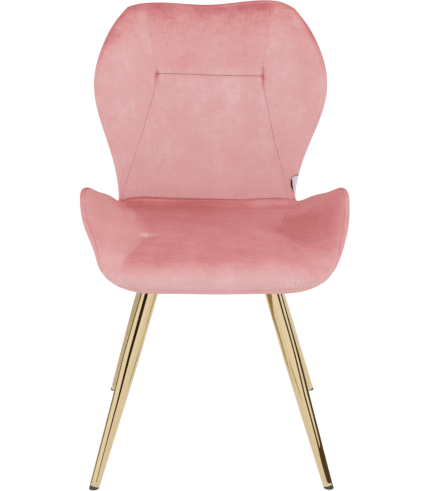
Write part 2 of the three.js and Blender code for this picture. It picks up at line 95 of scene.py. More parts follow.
REAR = np.array([
    [[0, -222, 386.5], [88, -220, 387], [156, -213, 390], [179.5, -204, 396], [198, -192, 403]],
    [[0, -196, 385.5], [88, -195, 385.5], [157, -186, 387.5], [194, -186, 403], [218.5, -193, 426.5]],
    [[0, -172, 385], [88, -171, 385], [157, -162, 386.5], [203, -164, 411], [228.5, -181, 444]],
    [[0, -140, 385], [88, -138, 385], [157, -130, 386], [210, -138, 421], [242, -152, 469]],
    [[0, -80, 385], [88, -79, 385], [157, -78, 386], [220, -92, 440], [257, -107, 506]],
    [[0, -15, 385], [88, -15, 385], [157, -16, 386], [223, -34, 450], [259, -58, 544]],
    [[0, 62, 385], [88, 61, 385], [157, 56, 387], [213, 36, 446], [240, 8, 523]],
    [[0, 150, 386], [88, 149, 386], [157, 141, 388], [197, 104, 438], [217, 76, 497]],
    [[0, 214, 416], [88, 207, 419], [164, 180, 438], [182, 170, 452], [191, 157, 472]],
    [[0, 240, 505], [84, 235, 505], [163, 208, 507], [181, 197, 509], [193.5, 180, 514]],
    [[0, 258, 596], [74, 252, 596], [143, 230, 596], [183, 215, 596], [215, 193, 594]],
    [[0, 273, 670], [64, 268, 670], [124, 250, 670], [186, 232, 670], [240, 201, 669]],
    [[0, 286, 738], [59, 281, 738], [116, 267, 738], [186, 247, 738], [246, 213, 736]],
    [[0, 296, 801], [62, 292, 801], [124, 280, 802], [179, 263, 802], [227, 235, 801]],
    [[0, 298, 852], [65, 295, 853.5], [131, 285, 856], [169, 275, 852.5], [200.5, 259, 847]],
    [[0, 289, 876], [67, 287, 880.5], [132, 281, 883], [157, 277, 879.5], [178, 272, 872.5]],
], float)
SWAY = np.array([4.5, 4.5, 6, 5.5, 2, 0, -1, -5, -12, -12, -9, -6, -5, -5, -5, -4], float)
LIFT = np.array([0, 0, 0, 0, 0, 0, 0, 0, 0, 0, 0, 0, 0, 0.4, 1.7, 2.7], float)
N_ST = len(FRONT)
LAST = N_ST - 1
CREASE = 8.0
BACK_SEAM = 12.0

steps = np.linalg.norm(np.diff(FRONT, axis=0), axis=2)
KNOTS = np.concatenate([[0.0], np.cumsum((steps[:, 0] + steps[:, 2] + steps[:, 4]) / 3)])


def second(xs, ys):
    """Second derivatives of the natural cubic spline; xs is (n, k) and ys (n, k, d)."""
    n, k = xs.shape
    a = np.zeros((n, k))
    c = np.zeros(ys.shape)
    m = np.zeros(ys.shape)
    h = np.diff(xs, axis=1)
    slope = np.diff(ys, axis=1) / h[..., None]
    for i in range(1, k - 1):
        b = 2 * (h[:, i - 1] + h[:, i]) - h[:, i - 1] * a[:, i - 1]
        a[:, i] = h[:, i] / b
        c[:, i] = (6 * (slope[:, i] - slope[:, i - 1]) - h[:, i - 1, None] * c[:, i - 1]) / b[:, None]
    for i in range(k - 2, 0, -1):
        m[:, i] = c[:, i] - a[:, i, None] * m[:, i + 1]
    return m


def knot_at(s):
    i = np.clip(np.floor(s).astype(int), 0, N_ST - 2)
    return i, KNOTS[i] + (s - i) * (KNOTS[i + 1] - KNOTS[i])


def face(table):
    flat = np.concatenate([table.reshape(N_ST, 15), SWAY[:, None], LIFT[:, None]], axis=1)
    m = second(KNOTS[None], flat[None])[0]
    sign = np.array([-1.0, 1.0, 1.0])

    def block(u, s):
        i, t = knot_at(s)
        h = KNOTS[i + 1] - KNOTS[i]
        p, q = ((KNOTS[i + 1] - t) / h)[:, None], ((t - KNOTS[i]) / h)[:, None]
        row = p * flat[i] + q * flat[i + 1] + ((p**3 - p) * m[i] + (q**3 - q) * m[i + 1]) * (h * h / 6)[:, None]
        half, sway, lift = row[:, :15].reshape(-1, 5, 3), row[:, 15], row[:, 16]
        kn = np.concatenate([np.zeros((len(u), 1)), np.cumsum(np.linalg.norm(np.diff(half, axis=1), axis=2), axis=1)], axis=1)
        xs = np.concatenate([-kn[:, :0:-1], kn], axis=1)
        ys = np.concatenate([half[:, :0:-1] * sign, half], axis=1)
        mm = second(xs, ys)
        w = np.abs(u) * 4
        j = np.clip(np.floor(w).astype(int), 0, 3)
        rows = np.arange(len(u))
        x = np.sign(u) * (kn[rows, j] + (w - j) * (kn[rows, j + 1] - kn[rows, j]))
        c = np.where(u >= 0, 4 + j, 3 - j)
        hh = xs[rows, c + 1] - xs[rows, c]
        p, q = ((xs[rows, c + 1] - x) / hh)[:, None], ((x - xs[rows, c]) / hh)[:, None]
        out = p * ys[rows, c] + q * ys[rows, c + 1] + ((p**3 - p) * mm[rows, c] + (q**3 - q) * mm[rows, c + 1]) * (hh * hh / 6)[:, None]
        out[:, 0] += sway
        out[:, 2] += lift * np.sin(math.pi * u / 0.9)
        out[:, 1] -= Y_CENTRE
        return out

    def at(u, s):
        u, s = np.broadcast_arrays(np.asarray(u, float), np.asarray(s, float))
        shape = u.shape
        u, s = u.ravel(), s.ravel()
        out = np.empty((len(u), 3))
        for k in range(0, len(u), 40000):
            out[k : k + 40000] = block(u[k : k + 40000], s[k : k + 40000])
        return out.reshape(*shape, 3)

    return at


front_face = face(FRONT)
rear_face = face(REAR)


def middle(u, s):
    return (front_face(u, s) + rear_face(u, s)) / 2


def length(v):
    return np.linalg.norm(v, axis=-1)


def smooth(a, b, x):
    t = np.clip((np.asarray(x, float) - a) / (b - a), 0, 1)
    return t * t * (3 - 2 * t)


def bump(x, centre, width):
    return np.exp(-(((np.asarray(x, float) - centre) / width) ** 2))


# ------------------------------------------------------------------ the rim and the lines along it
PUSH = 2.2  # the rounded rim bulges this far past the edge of the two faces
WELT = 5.6  # distance of the sewn line from the rim


def unit_u(s, at=1.0):
    """Millimetres for each unit of u at the rim of the middle surface."""
    return length(middle(at, s) - middle(at - 0.01, s)) / 0.01


def unit_s(u, at):
    step = 0.02 if at < 1 else -0.02
    return length(middle(u, at + step) - middle(u, at)) / 0.02


S_FINE = np.linspace(0, LAST, 600)
U_FINE = np.linspace(-1, 1, 400)
UNIT_U = unit_u(S_FINE)
UNIT_S0 = unit_s(U_FINE, 0.0)
UNIT_S1 = unit_s(U_FINE, float(LAST))


def rim_u(s, inset=0.0):
    return 1 + (PUSH - inset) / np.interp(s, S_FINE, UNIT_U)


def rim_s0(u, inset=0.0):
    return (inset - PUSH * 0.3) / np.interp(u, U_FINE, UNIT_S0)


def rim_s1(u, inset=0.0):
    return LAST + (PUSH * 0.6 - inset) / np.interp(u, U_FINE, UNIT_S1)


def perimeter():
    """The rim as a closed line on the middle surface, and the half thickness there."""
    s = np.linspace(0, 1, 420)
    sv = rim_s0(1.0) + s * (rim_s1(1.0) - rim_s0(1.0))
    right_u = rim_u(sv)
    u = np.linspace(-1, 1, 220)
    top_u = u * rim_u(LAST)
    low_u = u * rim_u(0.0)
    us = np.concatenate([right_u, top_u[::-1], -right_u[::-1], low_u])
    ss = np.concatenate([sv, rim_s1(np.clip(top_u[::-1], -1, 1)), sv[::-1], rim_s0(np.clip(low_u, -1, 1))])
    half = length(front_face(us, ss) - rear_face(us, ss)) / 2
    return middle(us, ss), half


RIM_LINE, RIM_HALF = perimeter()


def curve_distance(points, line, values=None):
    """Distance from each point to a polyline, and the value there of an array given along it."""
    shape = points.shape[:-1]
    q = points.reshape(-1, 3)
    out = np.empty(len(q))
    val = np.empty(len(q)) if values is not None else None
    cc = (line * line).sum(1)
    k = len(line)
    for a in range(0, len(q), 6000):
        b = q[a : a + 6000]
        near = np.argmin(cc[None] - 2 * b @ line.T, axis=1)
        best = np.full(len(b), 1e18)
        for lo, hi in ((np.maximum(near - 1, 0), near), (near, np.minimum(near + 1, k - 1))):
            d = line[hi] - line[lo]
            ll = np.maximum((d * d).sum(1), 1e-12)
            t = np.clip(((b - line[lo]) * d).sum(1) / ll, 0, 1)
            gap = length(b - line[lo] - t[:, None] * d)
            best = np.minimum(best, gap)
        out[a : a + 6000] = best
        if val is not None:
            val[a : a + 6000] = values[near]
    return (out.reshape(shape), val.reshape(shape)) if values is not None else out.reshape(shape)


def skin(u, s, side):
    """Point of the outer surface, with the rounded rim; side is 1 for the front face and -1 for the rear."""
    f, r = front_face(u, s), rear_face(u, s)
    e, half = curve_distance((f + r) / 2, RIM_LINE, RIM_HALF)
    radius = np.maximum(half, 4.0)
    x = np.clip(1 - e / radius, 0, 1)
    share = 0.5 * (1 - np.power(np.maximum(1 - x**2.3, 0), 1 / 2.3))
    if side > 0:
        return f + (r - f) * share[..., None]
    return r + (f - r) * share[..., None]


def normals_of(grid):
    """Unit normals of a grid of points [row, column]; rows run along s and columns along u."""
    a = np.gradient(grid, axis=1)
    b = np.gradient(grid, axis=0)
    n = np.cross(a, b)
    return n / np.maximum(length(n), 1e-9)[..., None]


def smooth_grid(a, times):
    """Averages each value with its four neighbours, with the edges kept."""
    for _ in range(times):
        c = a.copy()
        c[1:-1, 1:-1] = 0.5 * a[1:-1, 1:-1] + 0.125 * (a[2:, 1:-1] + a[:-2, 1:-1] + a[1:-1, 2:] + a[1:-1, :-2])
        a = c
    return a


class Waves:
    """A smooth random field in space: a sum of plane waves, the same each run."""

    def __init__(self, seed, size, count=14):
        rng = np.random.default_rng(seed)
        d = rng.normal(size=(count, 3))
        d /= length(d)[:, None]
        self.k = d * (2 * math.pi / (size * rng.uniform(0.6, 1.6, count)))[:, None]
        self.phase = rng.uniform(0, 2 * math.pi, count)
        self.scale = math.sqrt(2 / count)

    def __call__(self, p):
        return np.sin(p @ self.k.T + self.phase).sum(-1) * self.scale


swell = Waves(3, 120)
ripple = Waves(5, 34)
fine_ripple = Waves(8, 11)


def graded(size, fine, coarse, growth=0.2, extra=()):
    """Positions 0..1 along a side of that size in mm, close together at both ends and round extra places."""
    x = np.linspace(0, size, 4001)
    step = np.minimum(coarse, fine + growth * np.minimum(x, size - x))
    for at, least, width in extra:
        step = np.minimum(step, least + growth * np.maximum(np.abs(x - at * size) - width, 0))
    count = np.concatenate([[0.0], np.cumsum(np.diff(x) * 0.5 * (1 / step[1:] + 1 / step[:-1]))])
    n = int(math.ceil(count[-1] / 4) * 4)
    return np.interp(np.linspace(0, count[-1], n + 1), count, x) / size


# ------------------------------------------------------------------ meshes
def new_mesh(name, verts, faces, smooth_shade=True, attributes=None):
    """verts in mm."""
    mesh = bpy.data.meshes.new(name)
    verts = np.asarray(verts, float) * MM
    mesh.from_pydata(verts.tolist(), [], faces if isinstance(faces, list) else faces.tolist())
    mesh.validate(verbose=False)
    mesh.update()
    if smooth_shade:
        mesh.polygons.foreach_set("use_smooth", np.ones(len(mesh.polygons), bool))
    for key, values in (attributes or {}).items():
        attribute = mesh.attributes.new(key, "FLOAT", "POINT")
        attribute.data.foreach_set("value", np.asarray(values, np.float32))
    obj = bpy.data.objects.new(name, mesh)
    bpy.context.scene.collection.objects.link(obj)
    return obj


def grid_ids(n, m, start=0):
    return start + np.arange(n * m).reshape(n, m)


def quads(ids, flip=False):
    a, b, c, d = ids[:-1, :-1], ids[:-1, 1:], ids[1:, 1:], ids[1:, :-1]
    order = (a, d, c, b) if flip else (a, b, c, d)
    return np.stack([x.ravel() for x in order], axis=1)


def strip(line_a, line_b, flip=False):
    a, b, c, d = line_a[:-1], line_a[1:], line_b[1:], line_b[:-1]
    order = (a, d, c, b) if flip else (a, b, c, d)
    return np.stack(order, axis=1)


def ring_of(ids):
    """The boundary of a grid of ids as a closed loop, counter-clockwise seen from the front."""
    return np.concatenate([ids[0, :-1], ids[:-1, -1], ids[-1, :0:-1], ids[:0:-1, 0]])


def coarse_back(ids, pos, k=4):
    """Faces for the hidden side of a panel: large cells inside, and cells that take every edge point at the boundary."""
    n, m = ids.shape
    faces = []
    used = set(ring_of(ids).tolist())
    for i in range(0, n - 1, k):
        for j in range(0, m - 1, k):
            i2, j2 = min(i + k, n - 1), min(j + k, m - 1)
            poly = []
            poly += ids[i, j:j2].tolist() if i == 0 else [ids[i, j]]
            poly += ids[i:i2, j2].tolist() if j2 == m - 1 else [ids[i, j2]]
            poly += ids[i2, j2:j:-1].tolist() if i2 == n - 1 else [ids[i2, j2]]
            poly += ids[i2:i:-1, j].tolist() if j == 0 else [ids[i2, j]]
            faces.append([int(x) for x in reversed(poly)])
            used.update(int(x) for x in poly)
    return faces, used


def compact(verts, faces, used):
    """Drops the vertices that no face uses."""
    keep = np.array(sorted(used))
    table = np.full(len(verts), -1)
    table[keep] = np.arange(len(keep))
    return verts[keep], [[int(table[i]) for i in f] for f in faces], keep


# ------------------------------------------------------------------ layers inside the body
REAR_COVER, CORE, CORE_SEAT_EXTRA, FRONT_COVER = 2.5, 8.0, 13.0, 2.0


def layer_gap(u, s):
    au = np.abs(u)
    return (
        0.4
        + 1.7 * np.maximum(smooth(0.55, 0.95, au), 1 - smooth(0.3, 1.8, s))
        + 0.5 * smooth(4.5, 6, s) * (1 - smooth(8.2, 9, s))
    )


def core_top(u, s):
    seat = smooth(0.2, 1.6, s) * (1 - smooth(6.0, 8.0, s)) * (1 - smooth(0.48, 0.86, np.abs(u)))
    return REAR_COVER + layer_gap(u, s) + CORE + CORE_SEAT_EXTRA * seat


def from_rear(u, s, mm):
    """Point that many mm in from the rear face, towards the front face."""
    f, r = front_face(u, s), rear_face(u, s)
    t = np.maximum(length(f - r), 1.0)
    share = mm * np.minimum(1, t / 21) / t
    return r + (f - r) * share[..., None]


# ------------------------------------------------------------------ sewn front panels
def table(pairs):
    xs, ys = zip(*pairs)
    return lambda q: np.interp(q, xs, ys)


# how far outside the line u = 0.5 each long seam runs, in mm, from the front lip to the top edge
SEAM_RUN = {
    -1: table(((0, 18), (0.5, 17), (1, 15), (1.6, 11), (2.2, 7), (2.9, 3), (3.3, 4.5), (3.6, 7), (3.8, 7), (3.93, 3.5), (4, 0), (4.15, 1), (4.4, 2.5),
               (5, 7), (5.5, 9.5), (6, 11), (6.6, 12.5), (7.3, 11.5), (8, 10), (9, 7), (10, 6.5), (11, 6), (11.6, 3.5), (12, 1.5), (13, 2.5), (14, 3.5), (15, 4))),
    1: table(((0, 0), (0.4, 0), (1, -5), (1.6, -6), (2.2, -4), (2.9, -2), (3.4, 1.5), (3.9, 3), (4.2, -1), (4.35, -6), (4.5, -4), (4.8, -1.5), (6, -0.5),
              (7, 1), (7.6, 3), (8, 4), (9, 1), (10, -1), (11, 0), (11.6, -2.5), (12, -1.5), (12.5, -3.5), (13.3, -4.5), (15, -4))),
}
PINCH_AT = {-1: 4.0, 1: 4.35}
CROSS_RUN = table(((-0.5, 1.5), (-0.25, -2.5), (0, -5.0), (0.25, -5.8), (0.5, -3.0)))
FOLD_RUN = table(((-0.85, 0), (-0.55, 6), (-0.4, 8.5), (-0.25, 8), (0, 4.5), (0.25, 4), (0.45, 5.5), (0.55, 5), (0.85, 0)))
SEAM_GAP = 0.12


def gap_at(s):
    """Half gap in a long seam or along the welt: the upper ones are pulled tight."""
    return SEAM_GAP * (1 - 0.85 * smooth(12.05, 12.5, s))


def welt_gap(s):
    return SEAM_GAP * (1 - 0.85 * smooth(8.2, 9.2, s))


def seam_units(s, side):
    """mm per unit of u on either side of the long seams."""
    a = 0.5 + 0.06 * side
    return length(front_face(a, s) - front_face(0.5, s)) / 0.06


UNIT_IN = seam_units(S_FINE, -1)
UNIT_OUT = seam_units(S_FINE, 1)


def seam_u(hand, s):
    """u of the long seam on the left (-1) or right (1), as a positive number."""
    run = SEAM_RUN[hand](s)
    return 0.5 + run / np.interp(s, S_FINE, np.where(True, UNIT_OUT, 0)) * (run > 0) + run / np.interp(s, S_FINE, UNIT_IN) * (run <= 0)


def u_seam(hand, s, side):
    """The same less the half gap, on its inner (-1) or outer (1) side."""
    unit = np.interp(s, S_FINE, UNIT_IN if side < 0 else UNIT_OUT)
    return seam_u(hand, s) + side * gap_at(s) / unit


def s_cross(u, side=0):
    return BACK_SEAM + (CROSS_RUN(u) + side * SEAM_GAP) / 67.0


def s_fold(u, side=0):
    return CREASE + (FOLD_RUN(u) + side * SEAM_GAP) / 52.0


# how the cloth turns down into each seam: radius of the turn, depth and width of the soft dip beside it
def seam_upright(hand, s):
    """The two long seams, on the lines between the middle panels and the side panels."""
    low = 1 - smooth(3.6, 4.0, s)
    pinch = PINCH_AT[hand]
    roll = (0.46 if hand < 0 else 0.68) + 0.10 * (1 - smooth(7, 9, s)) - (0.28 if hand < 0 else 0.45) * low
    roll = roll * (1 - smooth(12.05, 12.6, s)) + 0.12 * smooth(12.05, 12.6, s)
    dip = (
        0.40
        + 0.35 * (1 - smooth(7, 8.5, s)) * (1 - low)
        - 0.35 * low
        + (3.4 if hand < 0 else 4.2) * bump(s, pinch, 0.15)
        + 3.4 * bump(s, s_cross(0.5 * hand) + 0.03 * hand, 0.12)
        - 0.40 * smooth(12.2, 12.6, s)
    )
    wide = 4.0 + 6.0 * bump(s, pinch, 0.25) + 2.0 * bump(s, s_cross(0.5 * hand), 0.2)
    return roll, np.maximum(dip, 0), wide


def seam_cross(u):
    """The cross seam of the back."""
    a = np.abs(u)
    return 1.25 + 0 * a, 1.2 + 1.3 * smooth(0.42, 0.5, a), 4.5 + 0 * a


def seam_fold(u, upper):
    """The fold between seat and back."""
    a = np.abs(u)
    middle_part = 1 - smooth(0.5, 0.95, a)
    if upper:
        return 1.5 + 0.9 * middle_part, 1.0 + 2.0 * middle_part, 5.0 + 2.5 * middle_part
    left_part = 1 - smooth(-0.1, 0.35, u)
    return 1.0 + 0.2 * middle_part, 0.8 + (1.6 + 3.0 * left_part) * middle_part, 5.0 + (6.0 + 7.0 * left_part) * middle_part


def seam_welt(s):
    return 1.1 - 0.97 * smooth(8, 9.6, s), 0.30 * (1 - smooth(8, 9.6, s)), 2.0 + 0 * s


def turned(d, roll):
    """How far the surface has sunk at distance d from the seam line, where it turns down in a round of that radius."""
    x = np.clip(1 - d / roll, 0, 1)
    return roll * (1 - np.sqrt(np.maximum(1 - x * x, 0)))


def part_way(s_a, s_b, s):
    """Where station s lies between two others, along the surface."""
    a, b, c = (np.interp(q, np.arange(N_ST), KNOTS) for q in (s_a, s_b, s))
    return (c - a) / (b - a)


def panel_grid(name):
    hand = -1 if name.endswith("left") else 1
    kind = name.split("_")[0]
    seat_rows = graded(480, 0.35, 2.5, 0.16, extra=((part_way(0, CREASE, 4.0), 1.1, 10), (part_way(0, CREASE, 4.35), 1.1, 10)))
    inner = {h: (lambda s, h=h: h * u_seam(h, s, -1)) for h in (-1, 1)}
    outer = {h: (lambda s, h=h: h * u_seam(h, s, 1)) for h in (-1, 1)}
    rim = {h: (lambda s, h=h: h * rim_u(s, WELT + welt_gap(s))) for h in (-1, 1)}
    if name == "seat":
        w, v = seat_rows, graded(300, 0.35, 2.5, 0.16)
        lo, hi = inner[-1], inner[1]
        s0, s1 = lambda u: rim_s0(u, WELT), lambda u: s_fold(u, -1)
    elif kind == "arm":
        w, v = seat_rows, graded(92, 0.35, 2.3, 0.16)
        s0, s1 = lambda u: rim_s0(u, WELT), lambda u: s_fold(u, -1)
        lo, hi = (outer[1], rim[1]) if hand > 0 else (rim[-1], outer[-1])
    elif name == "back_lower":
        w, v = graded(275, 0.35, 2.5, 0.16), graded(280, 0.35, 2.5, 0.16)
        lo, hi = inner[-1], inner[1]
        s0, s1 = lambda u: s_fold(u, 1), lambda u: s_cross(u, -1)
    elif name == "back_upper":
        w, v = graded(140, 0.35, 2.5, 0.16), graded(240, 0.35, 2.5, 0.16)
        lo, hi = inner[-1], inner[1]
        s0, s1 = lambda u: s_cross(u, 1), lambda u: rim_s1(u, WELT)
    else:
        w = graded(420, 0.35, 2.5, 0.16, extra=((part_way(CREASE, LAST, 12.0), 1.0, 10),))
        v = graded(85, 0.35, 2.3, 0.16)
        s0, s1 = lambda u: s_fold(u, 1), lambda u: rim_s1(u, WELT)
        lo, hi = (outer[1], rim[1]) if hand > 0 else (rim[-1], outer[-1])
    # rows are even along the surface; u and s of each point depend on one another, so they are found in turns
    v, w = v[None, :], w[:, None]
    stations = np.arange(N_ST)
    mid = 0.5 * (s0(np.array([0.0]))[0] + s1(np.array([0.0]))[0])
    s = mid + 0 * v + 0 * w
    for _ in range(4):
        a, b = lo(s), hi(s)
        u = a + v * (b - a)
        uc = np.clip(u, -1, 1)
        sa, sb = s0(uc), s1(uc)
        ka, kb = np.interp(sa, stations, KNOTS), np.interp(sb, stations, KNOTS)
        s = np.interp(ka + w * (kb - ka), KNOTS, stations)
        s = np.where(w <= 0, sa, np.where(w >= 1, sb, s))
    a, b = lo(s), hi(s)
    return a + v * (b - a), s


def sides_of(name):
    """What each side of a panel is sewn to: [first column, last column, first row, last row]."""
    kind = name.split("_")[0]
    if kind == "arm":
        cols = ("right", "welt") if name.endswith("right") else ("welt", "left")
        return (*cols, "lip", "fold_low")
    if kind == "wing":
        cols = ("right", "welt") if name.endswith("right") else ("welt", "left")
        return (*cols, "fold_up", "lip")
    if name == "seat":
        return ("left", "right", "lip", "fold_low")
    if name == "back_lower":
        return ("left", "right", "fold_up", "cross")
    return ("left", "right", "cross", "lip")


def seam_values(kind, u, s):
    if kind in ("left", "right"):
        return seam_upright(-1 if kind == "left" else 1, s)
    if kind == "cross":
        return seam_cross(u)
    if kind == "fold_low":
        return seam_fold(u, False)
    if kind == "fold_up":
        return seam_fold(u, True)
    return seam_welt(s)


def spot(u, s):
    """A place on the front face, as a point in mm."""
    return front_face(np.array([u]), np.array([s]))[0]


def around(points, centre, across, along):
    """Polar coordinates round a place of the surface, in the plane of two directions."""
    d = points - centre
    a = across / np.linalg.norm(across)
    b = along - a * (along @ a)
    b /= np.linalg.norm(b)
    x, y = d @ a, d @ b
    return np.hypot(x, y), np.arctan2(y, x), x, y


PINCH = {m: spot(m * float(seam_u(m, np.array(PINCH_AT[m]))), PINCH_AT[m]) for m in (-1, 1)}
SEAM_END = {m: spot(m * float(seam_u(m, np.array(12.0))), float(s_cross(0.5 * m))) for m in (-1, 1)}
X, Y, Z = np.eye(3)


def relief(name, points, u, s):
    """Folds, puckers and the unevenness of stretched cloth, in mm outwards."""
    out = 0.35 * swell(points) + (0.05 + 0.05 * smooth(8, 10, s)) * ripple(points)
    au = np.abs(u)
    for m in (-1, 1):
        # short wrinkles that run into the point of the arm seam
        rho, angle, x, y = around(points, PINCH[m], X * m, Y)
        rays = np.cos(7 * angle + 1.1 * m) * smooth(0, 7, rho) * np.exp(-rho / (13.0 if m < 0 else 15.0))
        out = out + (1.1 if m < 0 else 0.9) * rays
        # and small ones at the ends of the cross seam
        rho, angle, x, y = around(points, SEAM_END[m], X * m, Z)
        rays = np.cos(5 * angle + 0.6) * smooth(0, 4, rho) * np.exp(-rho / 7.0)
        out = out + 0.7 * rays
    if name in ("seat", "arm_right"):
        # gathers above the lower corner on the right
        x = (u - 0.45) * 320
        lane = smooth(-30, -16, x) * (1 - smooth(14, 34, x))
        out = out + 1.0 * lane * np.sin(2 * math.pi * (x + 3.0 * s) / 8.6) * (1 - smooth(0.8, 1.9, s))
    if name in ("seat", "arm_left"):
        x = (u + 0.47) * 320
        lane = smooth(-22, -8, x) * (1 - smooth(8, 22, x))
        out = out + 0.25 * lane * np.sin(2 * math.pi * x / 13.0 + 1.0) * (1 - smooth(0.2, 0.9, s))
    if name == "seat":
        # a low fold in front of the crease on the right
        out = out + 2.6 * bump(s, 7.72 - 0.22 * smooth(0.05, 0.45, u), 0.10) * smooth(-0.06, 0.2, u) * (1 - smooth(0.44, 0.5, au))
    if name == "back_lower":
        # the pad is full just above the seat
        out = out + 1.4 * bump(s, 8.55, 0.30) * (1 - smooth(0.40, 0.5, au))
        out = out + 0.5 * bump(s, 11.80, 0.16) * (1 - smooth(0.42, 0.5, au))
    if name == "back_upper":
        out = out + 0.4 * bump(s, 12.25, 0.2) * (1 - smooth(0.42, 0.5, au))
    return out


def build_panel(name):
    u, s = panel_grid(name)
    base = skin(u, s, 1)
    n0 = normals_of(base)
    lines = (base[:, 0], base[:, -1], base[0], base[-1])
    drop = np.zeros(u.shape)
    nearest = np.full(u.shape, 1e9)
    t = length(front_face(u, s) - rear_face(u, s))
    crease_shade = np.zeros(u.shape)
    seam_highlight = np.zeros(u.shape)
    for kind, line in zip(sides_of(name), lines):
        d = curve_distance(base, line)
        roll, dip, wide = seam_values(kind, u, s)
        limit = np.clip(t / 45, 0.25, 1)
        roll = np.minimum(roll, 0.22 * t)
        drop += turned(d, roll) + dip * limit * np.exp(-((d / wide) ** 1.35))
        nearest = np.minimum(nearest, d)
        # painted shade along the fold between seat and back and along the cross seam
        if kind in ("fold_low", "fold_up", "cross"):
            crease_shade = np.maximum(crease_shade, (1.0 if kind == "fold_low" else 0.4) * np.exp(-d / (7.0 if kind == "fold_low" else 3.0)))
        if kind in ("left", "right"):
            hand = -1 if kind == "left" else 1
            # painted highlight along the seam in front of the point, and a lighter painted band beside the upper wing
            # seams
            seam_highlight = seam_highlight + 0.34 * (1 - smooth(3.75, 4.0, s)) * np.exp(-((d / 1.2) ** 2))
            if name.startswith("wing"):
                seam_highlight = seam_highlight + 0.10 * smooth(12.2, 12.7, s) * (1 - smooth(14.0, 14.8, s)) * smooth(0, 3, d) * (1 - smooth(5, 26, d))
    bumps = relief(name, base, u, s) * smooth(0, 9, nearest)
    # the relief, faded out near the seams, goes on the skin, less the turn into each seam
    top = base + n0 * (bumps - drop)[..., None]
    n, m = u.shape
    n1 = normals_of(top)
    depth = core_top(u, s) + layer_gap(u, s)
    low = from_rear(u, s, depth)
    # the hidden side never comes above the visible one
    thick = ((top - low) * n0).sum(-1)
    low = low - n0 * np.maximum(1.2 - thick, 0)[..., None]
    ids_top = grid_ids(n, m)
    ids_low = grid_ids(n, m, n * m)
    verts = np.concatenate([top.reshape(-1, 3), low.reshape(-1, 3)])
    faces = quads(ids_top).tolist()
    loop_t, loop_l = ring_of(ids_top), ring_of(ids_low)
    loop_t, loop_l = np.append(loop_t, loop_t[0]), np.append(loop_l, loop_l[0])
    faces += strip(loop_t, loop_l, flip=True).tolist()
    back, used = coarse_back(ids_low, low)
    faces += back
    used.update(range(n * m))
    verts, faces, keep = compact(verts, faces, used)
    if name == "seat":
        # the painted shade over the front roll changes more softly than the roll itself
        soft_n = smooth_grid(n1, 170)
        n1 = 0.25 * n1 + 0.75 * soft_n
        n1 = n1 / np.maximum(length(n1), 1e-9)[..., None]
    # the velvet's tone, with its painted light and shade, goes on the vertices
    nap_and_shade = nap_and_shade_of(n1, top, base, crease_shade, seam_highlight, u, s)
    nap_and_shade = np.concatenate([nap_and_shade.ravel(), nap_and_shade.ravel()])[keep]
    grain = 1 + 0.5 * smooth(12.0, 13.2, s)
    grain = np.concatenate([grain.ravel(), grain.ravel()])[keep]
    obj = new_mesh("panel_" + name, verts, faces, attributes={"nap_and_shade": nap_and_shade, "grain": grain})
    return obj


def facing_shade(n):
    """Painted light and shade by the normal: lighter where the surface faces the front, deeper where it faces up or to
    the side.
    """
    facing = -n[..., 1]
    return -0.07 + 0.36 * (1 - facing) + 0.45 * np.maximum(n[..., 2], 0)


def top_edge_shade(points, rim, centre):
    """Painted shade along the top edge and down the upper corners, where the surface turns away from the light; centre
    is 1 over the middle of the back.
    """
    x, z = points[..., 0], points[..., 2]
    side = smooth(-60, 60, x)
    reach = 16.0 + (20.0 + 18.0 * centre + (14.0 - 24.0 * side) * (1 - centre)) * smooth(765, 845, z)
    most = 0.41 + 0.05 * ripple(points * 0.8) + centre * (0.07 * bump(x, 100, 35) - 0.13 * bump(x, -52, 44))
    band = most * np.exp(-((rim / reach) ** 1.7)) * smooth(745 - 35 * side, 830 - 10 * side, z)
    band = band + 0.16 * side * (1 - centre) * bump(rim, 37, 15) * smooth(735, 772, z)
    band = band + 0.12 * bump(x, -158, 20) * bump(rim, 14, 12) * smooth(780, 820, z)
    band = band - 0.08 * (2 * side - 1) * (1 - centre) * bump(rim, 12, 13) * smooth(775, 802, z)
    return band + 0.14 * centre * np.exp(-(((rim - 17.0) / 6.0) ** 2)) * smooth(820, 850, z)


def gathers(u, s):
    """Small gathers above the lower corner on the right, from -1 to 1."""
    x = (u - 0.45) * 320
    lane = smooth(-30, -16, x) * (1 - smooth(14, 34, x))
    return lane * np.sin(2 * math.pi * (x + 3.0 * s) / 8.6) * (1 - smooth(0.8, 1.9, s))
